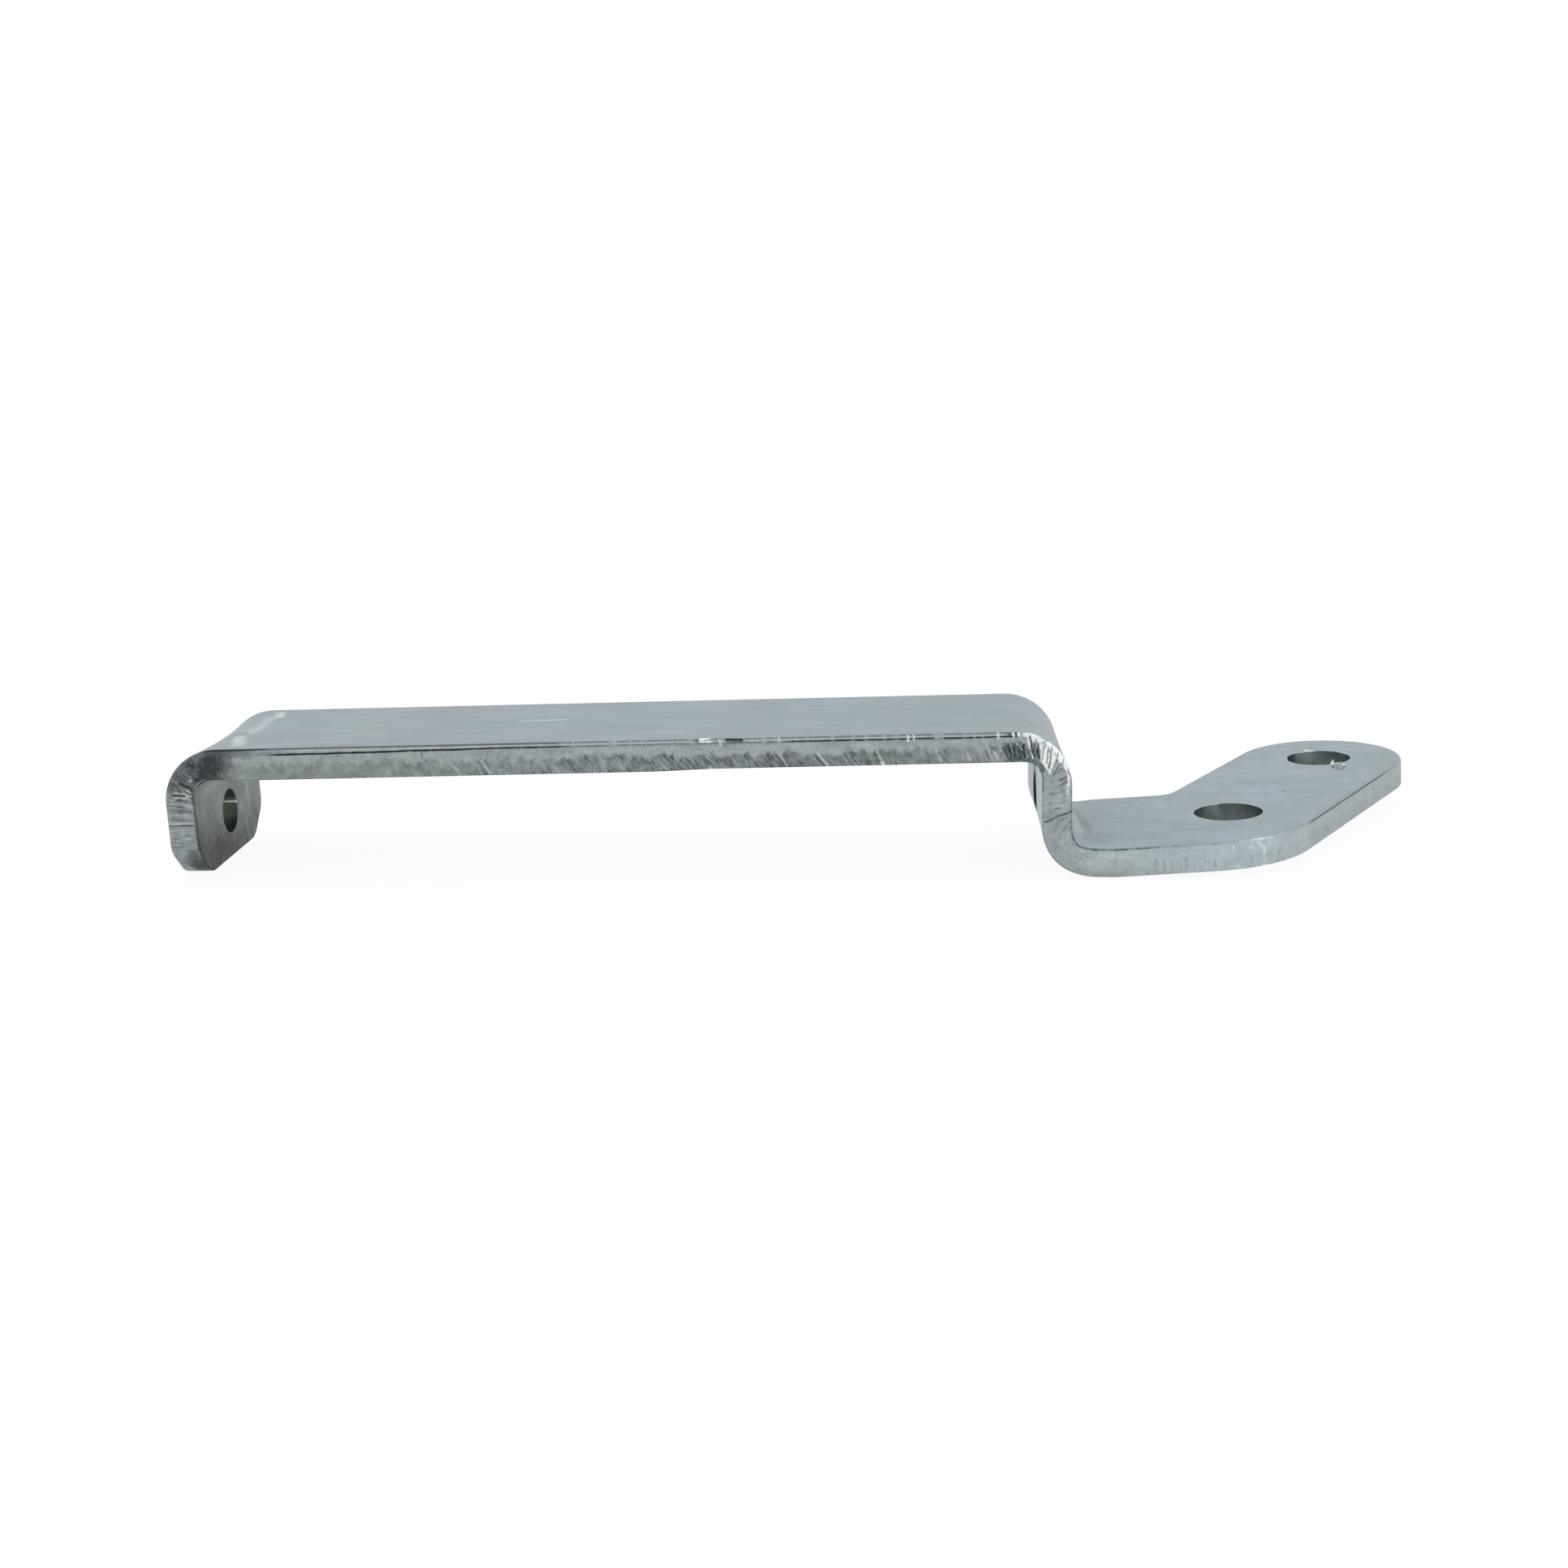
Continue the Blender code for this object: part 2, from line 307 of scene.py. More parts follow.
def outline(blank, inset):
    """The outline moved inwards by inset: points, outward directions and run, as many at any inset."""
    corners = blank.corners
    arcs = []
    for index, (corner, rounding, step) in enumerate(corners):
        arriving = (corner - corners[index - 1][0]).normalized()
        leaving = (corners[(index + 1) % len(corners)][0] - corner).normalized()
        turn = atan2(arriving.cross(leaving), arriving.dot(leaving))
        side = 1 if turn > 0 else -1
        inward = Vector((-arriving.y, arriving.x))
        moved = corner + (inward - arriving * tan(turn / 2)) * inset
        radius = rounding - side * inset
        start = moved - arriving * radius * abs(tan(turn / 2))
        centre = start + inward * side * radius
        pieces = max(3, ceil(abs(turn) * rounding / LEG_STEP))
        spokes = [Matrix.Rotation(turn * piece / pieces, 2) @ (start - centre) for piece in range(pieces + 1)]
        arcs.append(([centre + spoke for spoke in spokes], [spoke.normalized() * side for spoke in spokes],
                     abs(turn) * rounding / pieces, step, rounding * abs(tan(turn / 2))))
    points, outward, run = [], [], []
    reached = corners[0][0].x + arcs[0][4] - arcs[0][2] * (len(arcs[0][0]) - 1)
    for index, (arc, facing, arc_step, step, tangent) in enumerate(arcs):
        following = arcs[(index + 1) % len(arcs)]
        for piece, (point, out) in enumerate(zip(arc, facing)):
            if points and (point - points[-1]).length < SAME_PLACE:
                continue
            points.append(point)
            outward.append(out)
            run.append(reached + arc_step * piece)
        reached += arc_step * (len(arc) - 1)
        whole = (corners[(index + 1) % len(corners)][0] - corners[index][0]).length - tangent - following[4]
        if whole > SAME_PLACE:
            for part in stations(reached, whole, step):
                points.append(arc[-1].lerp(following[0][0], part))
                outward.append(facing[-1])
                run.append(reached + whole * part)
            reached += whole
        if index == len(arcs) - 2:
            clip_starts = len(points)
    run = np.array(run)
    run[clip_starts:] -= reached - run[0]
    return np.array(points), np.array(outward), run


# Torn lips round the screw holes' upper rims: angle and half width in degrees, and how far in, from 0 to 1
LIPS = (
    ((101, 5, 0.45), (112, 14, 0.55), (140, 14, 0.25), (28, 12, 0.20)),
    ((92, 12, 1.0), (110, 14, 1.0), (172, 8, 0.4), (27, 12, 0.5)),
)


def bore(centre, radius, inset, lips, high):
    """A hole's rim as outline gives the blank's: points, directions out of the metal, and run."""
    count = ceil(2 * pi * radius / BORE_STEP)
    angle = 2 * pi * np.arange(count) / count
    spokes = np.stack([np.cos(angle), np.sin(angle)], 1)
    reach = np.full(count, radius + inset)
    for place, half, amount in lips:
        reach -= high * amount * np.exp(-((angle - radians(place)) / radians(half)) ** 2)
    return np.array(centre) + spokes * reach[:, None], -spokes, angle * radius


def wall_rows(blank, roll):
    """Rows of the cut edge from below: height, how far it stands back, and how much of a wall it is."""
    rows = []
    for step in range(LOWER_ROWS + 1):
        angle = pi / 2 * step / LOWER_ROWS
        rows.append((LOWER_ROUND * (1 - cos(angle)), LOWER_ROUND * (1 - sin(angle)), sin(angle)))
    top = blank.sheet - roll
    for step in range(1, WALL_ROWS + 1):
        rows.append((LOWER_ROUND + (top - LOWER_ROUND) * step / WALL_ROWS, 0.0, 1.0))
    for step in range(1, ROLL_ROWS + 1):
        angle = pi / 2 * step / ROLL_ROWS
        rows.append((top + roll * sin(angle), roll * (1 - cos(angle)), cos(angle)))
    return rows


# Single marks on the near cut edge. Each has a width, a strength and points, and each point has its run along
# the edge and its depth from the top.
# Dark marks are painted shade in cracks, creases, nicks and tears, and along the lower rim
DARK_MARKS = (
    # Cracks and creases of the ear's bend
    (0.039, 0.53, ((-67.55, 0.15), (-67.56, 0.80), (-67.55, 1.50))),
    (0.039, 0.53, ((-66.42, 0.15), (-66.47, 0.45), (-66.50, 0.85))),
    (0.039, 0.40, ((-66.72, 0.30), (-66.70, 0.90))),
    (0.055, 0.70, ((-66.15, 0.62), (-66.10, 0.86))),
    (0.062, 0.84, ((-65.93, 0.50), (-65.90, 0.80), (-65.86, 1.06))),
    (0.047, 0.57, ((-65.66, 0.70), (-65.68, 0.86))),
    (0.055, 0.66, ((-65.62, 1.16), (-65.60, 1.36))),
    (0.078, 0.88, ((-65.28, 0.62), (-65.28, 0.90), (-65.21, 1.22))),
    (0.062, 0.75, ((-65.21, 1.22), (-65.30, 1.40), (-65.60, 1.50), (-66.10, 1.55), (-66.50, 1.58))),
    (0.070, 0.66, ((-64.58, 1.15), (-64.46, 1.27))),
    # Painted shade along the lower rim
    (0.039, 0.53, ((-64.90, 1.55), (-64.40, 1.55), (-63.90, 1.60))),
    (0.055, 0.62, ((-69.00, 1.56), (-68.20, 1.57), (-67.30, 1.56), (-66.50, 1.58))),
    # More cracks of the ear's bend
    (0.039, 0.31, ((-65.02, 0.75), (-65.00, 1.10))),
    # Nicks in the strip's upper rim
    (0.08, 1.00, ((-35.80, 0.04), (-35.50, 0.07), (-34.95, 0.10))),
    (0.04, 0.60, ((-37.55, 0.04), (-37.25, 0.10))),
    (0.035, 0.80, ((-51.98, 0.30), (-51.94, 0.56))),
    (0.04, 0.90, ((-20.98, 0.12), (-20.84, 0.12))),
    (0.04, 0.95, ((-20.57, 0.03), (-20.55, 0.24))),
    # Tears in the strip's lower part
    (0.04, 0.45, ((-48.95, 0.95), (-48.55, 1.50))),
    (0.05, 0.45, ((-44.25, 0.95), (-43.90, 1.45))),
    (0.05, 0.50, ((-37.20, 0.85), (-36.70, 1.45))),
    (0.05, 0.60, ((-33.15, 0.95), (-32.75, 1.50))),
    (0.05, 0.65, ((-31.12, 0.95), (-30.65, 1.55))),
    (0.06, 0.50, ((-35.63, 1.15), (-35.55, 1.45))),
    (0.05, 0.45, ((-28.05, 0.90), (-27.80, 1.40))),
    (0.05, 0.45, ((-24.60, 0.95), (-24.30, 1.40))),
    (0.05, 0.45, ((-22.15, 0.90), (-21.90, 1.45))),
    # Pleats of the riser's upper bend
    (0.047, 0.90, ((-20.01, 0.16), (-19.87, 0.41), (-19.79, 0.66), (-19.62, 0.91), (-19.40, 1.16))),
    (0.057, 0.95, ((-20.17, 0.60), (-20.15, 0.77), (-20.06, 1.07), (-19.93, 1.29))),
    (0.057, 0.90, ((-19.75, 0.80), (-19.58, 0.98))),
    (0.047, 0.70, ((-19.71, 0.41), (-19.62, 0.60))),
    (0.047, 0.80, ((-19.51, 0.60), (-19.40, 0.83))),
    (0.049, 0.90, ((-19.57, 0.34), (-19.43, 0.61), (-19.30, 0.86))),
    (0.072, 0.95, ((-19.30, 0.86), (-19.13, 1.05))),
    (0.039, 0.65, ((-19.30, 0.37), (-19.13, 0.67), (-19.00, 0.89), (-18.94, 1.05))),
    (0.043, 0.75, ((-19.08, 0.26), (-18.97, 0.48), (-18.80, 0.70), (-18.64, 0.95))),
    (0.047, 0.80, ((-18.94, 0.28), (-18.80, 0.45), (-18.64, 0.64), (-18.50, 0.81))),
    (0.060, 0.90, ((-18.50, 0.81), (-18.42, 0.95), (-18.33, 1.00))),
    (0.044, 0.45, ((-18.77, 0.23), (-18.50, 0.31), (-18.39, 0.39))),
    (0.044, 0.40, ((-18.14, 0.53), (-18.03, 0.72), (-17.84, 0.94))),
    (0.049, 0.50, ((-18.00, 0.34), (-17.92, 0.67))),
    (0.057, 0.70, ((-17.58, 0.28), (-17.50, 0.61))),
    (0.057, 0.60, ((-17.40, 0.28), (-17.29, 0.50))),
    (0.052, 0.45, ((-17.37, 0.32), (-17.23, 0.70))),
    (0.044, 0.28, ((-17.00, 0.38), (-16.85, 0.82), (-16.79, 1.15))),
    (0.065, 0.55, ((-21.22, 0.80), (-21.05, 1.20), (-20.95, 1.40))),
    (0.052, 0.50, ((-20.98, 0.70), (-20.90, 1.00))),
    (0.058, 0.50, ((-20.66, 0.85), (-20.60, 1.20))),
    (0.058, 0.55, ((-20.42, 0.75), (-20.32, 1.15), (-20.24, 1.40))),
    (0.036, 0.70, ((-19.38, 0.10), (-19.22, 0.32))),
    (0.034, 0.60, ((-19.02, 0.06), (-18.90, 0.26))),
    (0.034, 0.65, ((-18.66, 0.08), (-18.52, 0.32))),
    (0.034, 0.60, ((-18.30, 0.06), (-18.14, 0.30))),
    (0.030, 0.50, ((-17.80, 0.10), (-17.66, 0.26))),
    # Painted shade along the lower rim, then creases of the riser
    (0.050, 0.60, ((-18.60, 1.55), (-17.60, 1.57), (-16.90, 1.58))),
    (0.036, 0.85, ((-15.80, 0.04), (-15.69, 0.35), (-15.58, 0.76), (-15.36, 1.15), (-15.25, 1.45))),
    (0.030, 0.45, ((-15.46, 0.30), (-15.34, 0.72))),
    (0.045, 0.40, ((-15.25, 0.12), (-15.02, 0.34), (-14.72, 0.46))),
    (0.035, 0.35, ((-14.98, 0.05), (-14.62, 0.22))),
    (0.028, 0.35, ((-16.74, 0.20), (-16.62, 0.48))),
    (0.028, 0.35, ((-16.30, 1.05), (-16.22, 1.38))),
    (0.035, 0.60, ((-16.02, 0.60), (-15.98, 0.93))),
    (0.03, 0.35, ((-16.42, 0.22), (-16.25, 0.72))),
    (0.03, 0.30, ((-15.15, 0.15), (-14.95, 0.50))),
    (0.03, 0.30, ((-14.95, 0.10), (-14.70, 0.42))),
    # Fine tears of the foot
    (0.035, 0.55, ((-8.56, 0.72), (-8.55, 1.02))),
    (0.035, 0.35, ((-8.15, 0.85), (-8.10, 1.40))),
    (0.035, 0.30, ((-6.95, 0.80), (-6.93, 1.25))),
    (0.035, 0.35, ((-5.45, 0.95), (-5.42, 1.35))),
)
# Light marks are mostly painted highlights, with some bright torn metal
LIGHT_MARKS = (
    # Painted highlights on the ear's edge
    (0.05, 0.40, ((-65.82, 0.50), (-65.74, 1.00), (-65.72, 1.50))),
    (0.06, 0.40, ((-66.05, 0.58), (-65.98, 0.95), (-65.84, 1.25))),
    (0.06, 0.45, ((-65.44, 1.15), (-65.52, 1.38))),
    (0.06, 0.30, ((-66.50, 1.10), (-66.50, 1.55))),
    (0.06, 0.25, ((-67.46, 0.20), (-67.46, 1.45))),
    (0.07, 0.45, ((-64.84, 1.02), (-64.74, 1.10))),
    (0.05, 0.30, ((-65.00, 1.53), (-64.55, 1.47), (-64.20, 1.47), (-63.92, 1.55))),
    # Nicks in the strip's upper rim
    (0.045, 1.00, ((-37.18, 0.10), (-36.62, 0.12))),
    (0.035, 0.90, ((-36.14, 0.14), (-36.08, 0.30))),
    (0.045, 0.90, ((-26.22, 0.08), (-26.20, 0.30))),
    (0.040, 0.80, ((-25.92, 0.06), (-25.90, 0.26))),
    (0.035, 0.60, ((-33.00, 0.06), (-32.90, 0.20))),
    (0.035, 0.50, ((-22.32, 0.12), (-22.30, 0.24))),
    (0.040, 0.95, ((-21.49, 0.04), (-21.47, 0.30))),
    (0.045, 1.00, ((-20.69, 0.00), (-20.67, 0.22))),
    (0.040, 1.00, ((-20.47, 0.00), (-20.44, 0.18))),
    # Bright strokes between the strip's tears
    (0.036, 0.28, ((-48.80, 0.85), (-48.38, 1.48))),
    (0.036, 0.20, ((-44.32, 0.80), (-44.05, 1.30))),
    (0.036, 0.20, ((-42.50, 0.78), (-42.20, 1.50))),
    (0.036, 0.20, ((-41.62, 0.85), (-41.32, 1.45))),
    (0.036, 0.25, ((-36.92, 0.85), (-36.50, 1.30))),
    (0.045, 0.50, ((-36.76, 1.42), (-36.62, 1.60))),
    (0.036, 0.35, ((-33.02, 0.88), (-32.60, 1.50))),
    (0.040, 0.50, ((-31.00, 0.88), (-30.76, 1.18), (-30.44, 1.60))),
    (0.040, 0.40, ((-27.86, 0.85), (-27.62, 1.30))),
    (0.070, 0.60, ((-27.60, 1.42), (-27.50, 1.60))),
    (0.036, 0.22, ((-29.00, 1.05), (-28.80, 1.50))),
    (0.036, 0.30, ((-24.76, 0.80), (-24.45, 1.50))),
    (0.045, 0.35, ((-23.16, 1.00), (-22.94, 1.42))),
    (0.038, 0.32, ((-22.02, 0.80), (-21.86, 1.50))),
    (0.038, 0.45, ((-21.74, 0.96), (-21.58, 1.18), (-21.50, 1.38))),
    (0.036, 0.25, ((-21.41, 0.69), (-21.36, 1.02))),
    (0.038, 0.35, ((-21.28, 0.91), (-21.11, 1.29), (-21.03, 1.42))),
    # Painted highlights on the pleats of the riser's upper bend
    (0.055, 1.00, ((-20.25, 0.10), (-20.05, 0.13))),
    (0.050, 1.00, ((-20.08, 0.10), (-19.98, 0.39), (-19.87, 0.66))),
    (0.046, 0.95, ((-19.87, 0.66), (-19.76, 0.80), (-19.60, 1.05), (-19.43, 1.24))),
    (0.060, 1.00, ((-19.90, 0.00), (-19.88, 0.20))),
    (0.058, 1.00, ((-19.76, 0.00), (-19.62, 0.17), (-19.49, 0.33), (-19.36, 0.50))),
    (0.036, 0.45, ((-20.12, 0.66), (-20.04, 0.96), (-19.90, 1.16), (-19.76, 1.32))),
    (0.034, 0.40, ((-19.65, 0.36), (-19.46, 0.66))),
    (0.050, 0.95, ((-19.36, 0.28), (-19.19, 0.67), (-19.05, 0.97), (-18.97, 1.10))),
    (0.085, 1.00, ((-19.15, 0.32), (-19.02, 0.70), (-18.84, 1.06))),
    (0.070, 1.00, ((-18.93, 0.42), (-18.74, 0.72), (-18.56, 1.04))),
    (0.060, 1.00, ((-18.80, 1.12), (-18.42, 1.14))),
    (0.065, 1.00, ((-18.68, 0.36), (-18.53, 0.59))),
    (0.058, 0.95, ((-18.40, 0.72), (-18.22, 1.00), (-18.06, 1.08))),
    (0.100, 1.00, ((-19.55, 0.05), (-18.95, 0.12), (-18.40, 0.16), (-18.00, 0.14))),
    (0.055, 0.90, ((-17.88, 0.16), (-17.50, 0.17), (-17.25, 0.20))),
    (0.045, 0.45, ((-17.40, 0.24), (-16.75, 0.25))),
    (0.030, 0.25, ((-20.78, 0.90), (-20.70, 1.10))),
    # Painted highlights on the foot's rim and edge
    (0.050, 1.00, ((-3.35, 0.03), (-3.00, 0.03), (-2.70, 0.08))),
    (0.040, 0.50, ((-4.10, 0.05), (-3.35, 0.03))),
    (0.040, 0.40, ((-2.70, 0.08), (-2.00, 0.16))),
    (0.045, 0.42, ((-3.00, 0.22), (-2.86, 0.42), (-2.66, 0.58), (-2.64, 0.90))),
    (0.070, 0.35, ((-3.52, 0.44), (-3.42, 0.50))),
    (0.045, 0.28, ((-4.42, 0.30), (-4.36, 0.60))),
    (0.060, 0.75, ((-2.78, 1.60), (-2.62, 1.60))),
)


# Strength over a mark's middle before it is cut off at 1, and how much of it each width further out takes
MARK_MIDDLE = 1.35
MARK_FADE = 0.85


def marked(run, depth, marks):
    """How much each point of the cut edge is marked, from 0 to 1. A mark's width is slightly uneven."""
    total = np.zeros(len(run))
    uneven = 1 + 0.15 * np.sin(run * 19.0 + depth * 11.0) + 0.06 * np.sin(run * 73.0 - depth * 41.0)
    for width, strength, points in marks:
        nearest = np.full(len(run), np.inf)
        for (run_0, depth_0), (run_1, depth_1) in zip(points, points[1:]):
            along, down = run_1 - run_0, depth_1 - depth_0
            part = ((run - run_0) * along + (depth - depth_0) * down) / (along ** 2 + down ** 2)
            part = np.clip(part, 0.0, 1.0)
            nearest = np.minimum(nearest, np.hypot(run - run_0 - part * along, depth - depth_0 - part * down))
        faded = np.clip(MARK_MIDDLE - MARK_FADE * nearest / (width * uneven), 0.0, 1.0)
        total = np.maximum(total, strength * faded)
    return total


class FlatSheet:
    """Collects the flat blank's points with what is known of each, and its faces."""

    def __init__(self, blank):
        self.blank = blank
        self.places, self.outward, self.run, self.wall, self.bore = [], [], [], [], []
        self.faces = []
        self.count = 0

    def add(self, plan, height, outward=None, run=None, wall=0.0, bore=0.0):
        """Adds points at one height and returns their numbers."""
        amount = len(plan)
        self.places.append(np.column_stack([plan, np.full(amount, height)]))
        self.outward.append(np.zeros((amount, 2)) if outward is None else outward)
        self.run.append(np.zeros(amount) if run is None else run)
        self.wall.append(np.full(amount, wall))
        self.bore.append(np.full(amount, bore))
        self.count += amount
        return np.arange(self.count - amount, self.count)

    def add_wall(self, rim_at, kind, roll):
        """The cut edge round one outline. Returns a hem inside the lower and the upper face."""
        rings = []
        for height, inset, wall in wall_rows(self.blank, roll):
            plan, outward, run = rim_at(inset, height)
            rings.append(self.add(plan, height, outward, run, wall, kind))
        for lower, upper in zip(rings, rings[1:]):
            after_lower, after_upper = np.roll(lower, -1), np.roll(upper, -1)
            self.faces.extend(np.stack([lower, after_lower, after_upper, upper], 1).tolist())
        hems = []
        for ring, height, inset in ((rings[0], 0.0, LOWER_ROUND), (rings[-1], self.blank.sheet, roll)):
            plan, outward, run = rim_at(inset + HEM, height)
            hem = self.add(plan, height, outward, run, 0.0, kind)
            after_ring, after_hem = np.roll(ring, -1), np.roll(hem, -1)
            if height > 0:
                band = [ring, after_ring, after_hem, hem]
            else:
                band = [hem, after_hem, after_ring, ring]
            self.faces.extend(np.stack(band, 1).tolist())
            hems.append(hem)
        return hems

    def add_face(self, hems, height, upwards):
        """Fills one flat face between its hems with even triangles."""
        rims = [np.concatenate(self.places)[hem, :2] for hem in hems]
        inner = face_points(self.blank, rims)
        inner_numbers = self.add(inner, height)
        numbers = np.concatenate(hems + [inner_numbers])
        plan = np.concatenate(rims + [inner])
        edges, first = [], 0
        for rim in rims:
            ring = range(first, first + len(rim))
            edges += [(number, first + (number - first + 1) % len(rim)) for number in ring]
            first += len(rim)
        filled = delaunay_2d_cdt([Vector(point) for point in plan], edges, [], 0, FILL_PRECISION)
        spots, _, triangles, origins, _, _ = filled
        if len(spots) != len(plan):
            raise RuntimeError("The face's points were merged or split while it was filled")
        source = np.array([origin[0] for origin in origins])
        triangles = source[np.array(triangles)]
        centres = plan[triangles].mean(axis=1)
        keep = inside(centres, rims[0])
        for rim in rims[1:]:
            keep &= ~inside(centres, rim)
        triangles = numbers[triangles[keep]]
        self.faces.extend((triangles if upwards else triangles[:, ::-1]).tolist())

    def to_object(self, name):
        """The blank as an object, with each point's place on the sheet kept as attributes in millimetres."""
        places = np.concatenate(self.places)
        mesh = bpy.data.meshes.new(name)
        mesh.from_pydata(places.tolist(), [], self.faces)
        on_sheet = places.copy()
        on_sheet[:, 2] = self.blank.sheet - places[:, 2]
        outward = np.column_stack([np.concatenate(self.outward), np.zeros(len(places))])
        run, bore, wall = np.concatenate(self.run), np.concatenate(self.bore), np.concatenate(self.wall)
        on_edge = (bore == 0) & (wall > 0)
        dark, light = np.zeros(len(places)), np.zeros(len(places))
        dark[on_edge] = marked(run[on_edge], on_sheet[on_edge, 2], DARK_MARKS)
        light[on_edge] = marked(run[on_edge], on_sheet[on_edge, 2], LIGHT_MARKS)
        for label, kind, key, values in (
            ("sheet", "FLOAT_VECTOR", "vector", on_sheet),
            ("outward", "FLOAT_VECTOR", "vector", outward),
            ("run", "FLOAT", "value", run),
            ("wall", "FLOAT", "value", wall),
            ("bore", "FLOAT", "value", bore),
            ("dark", "FLOAT", "value", dark),
            ("light", "FLOAT", "value", light),
        ):
            attribute = mesh.attributes.new(label, kind, "POINT")
            attribute.data.foreach_set(key, values.astype(np.float32).ravel())
        mesh.validate()
        mesh.shade_smooth()
        return add_object(name, mesh)


def inside(points, ring):
    """Which points lie inside a closed ring."""
    x, y = points[:, 0][:, None], points[:, 1][:, None]
    x1, y1 = ring[:, 0], ring[:, 1]
    x2, y2 = np.roll(x1, -1), np.roll(y1, -1)
    crosses = (y1 > y) != (y2 > y)
    with np.errstate(divide="ignore", invalid="ignore"):
        at = x1 + (y - y1) * (x2 - x1) / (y2 - y1)
    return (crosses & (x < at)).sum(axis=1) % 2 == 1


def face_points(blank, rims):
    """Points spread over a flat face, closer together where it will bend and clear of every rim."""
    columns = [blank.ear_tip]
    limit = rims[0][:, 0].max()
    bends = [(start - radius * abs(turn), start) for start, radius, turn in blank.folds()]
    while columns[-1] < limit:
        here = columns[-1]
        bending = any(low - BEND_MARGIN < here < high + BEND_MARGIN for low, high in bends)
        columns.append(here + (BEND_STEP if bending else FACE_STEP))
    rows = np.arange(rims[0][:, 1].min(), rims[0][:, 1].max(), FACE_STEP)
    grid = np.stack(np.meshgrid(columns, rows, indexing="ij"), -1).reshape(-1, 2)
    grid = grid[inside(grid, rims[0])]
    keep = np.ones(len(grid), bool)
    for rim in rims:
        for block in range(0, len(grid), BLOCK):
            gap = np.linalg.norm(grid[block:block + BLOCK, None] - rim[None], axis=2).min(axis=1)
            keep[block:block + BLOCK] &= gap > RIM_GAP
    for rim in rims[1:]:
        keep &= ~inside(grid, rim)
    return grid[keep]


def punch_sheet(blank, ragged):
    """The flat blank with its outline and four holes cut, and torn lips round the screw holes."""
    flat = FlatSheet(blank)
    walls = [flat.add_wall(lambda inset, height: outline(blank, inset), 0.0, blank.roll)]
    for number, (centre, radius) in enumerate(blank.holes()):
        kind = AXLE_BORE if number < 2 else SCREW_BORE
        lips = () if number < 2 else LIPS[number - 2]

        def rim_at(inset, height):
            high = ragged * min(max(2 * height / blank.sheet - 1, 0.0), 1.0) ** 2
            return tuple(values[::-1] for values in bore(centre, radius, inset, lips, high))

        walls.append(flat.add_wall(rim_at, kind, blank.hole_roll))
    flat.add_face([hems[0] for hems in walls], 0.0, False)
    flat.add_face([hems[1] for hems in walls], blank.sheet, True)
    return flat.to_object("gate_bracket_sheet")


def arithmetic(operation, reflected=False):
    """An operator of Wire that adds a Math node."""
    def combine(wire, other):
        values = (other, wire) if reflected else (wire, other)
        return wire.graph.math(operation, *values)

    return combine


class Wire:
    """A node's output, on which arithmetic adds Math nodes."""

    def __init__(self, graph, socket):
        self.graph = graph
        self.socket = socket

    __add__, __radd__ = arithmetic("ADD"), arithmetic("ADD", True)
    __sub__, __rsub__ = arithmetic("SUBTRACT"), arithmetic("SUBTRACT", True)
    __mul__, __rmul__ = arithmetic("MULTIPLY"), arithmetic("MULTIPLY", True)
    __truediv__, __rtruediv__ = arithmetic("DIVIDE"), arithmetic("DIVIDE", True)

    def __neg__(self):
        return self * -1.0

    def __abs__(self):
        return self.graph.math("ABSOLUTE", self)

    def clamped(self):
        """The value kept between 0 and 1."""
        return self.graph.math("ADD", self, 0.0, clamp=True)

    def ramp(self, low, high, to_low=0.0, to_high=1.0):
        """Smooth step of the value from low to high, which falls where low is the larger."""
        return self.graph.add(
            "ShaderNodeMapRange", {"interpolation_type": "SMOOTHSTEP"},
            value=self, from_min=low, from_max=high, to_min=to_low, to_max=to_high,
        )

    def band(self, low, high, soft):
        """1 between low and high, fading over soft at both ends."""
        return self.ramp(low - soft, low) * self.ramp(high + soft, high)


def largest(*wires):
    """The largest of several masks."""
    total = wires[0]
    for wire in wires[1:]:
        total = total.graph.math("MAXIMUM", total, wire)
    return total


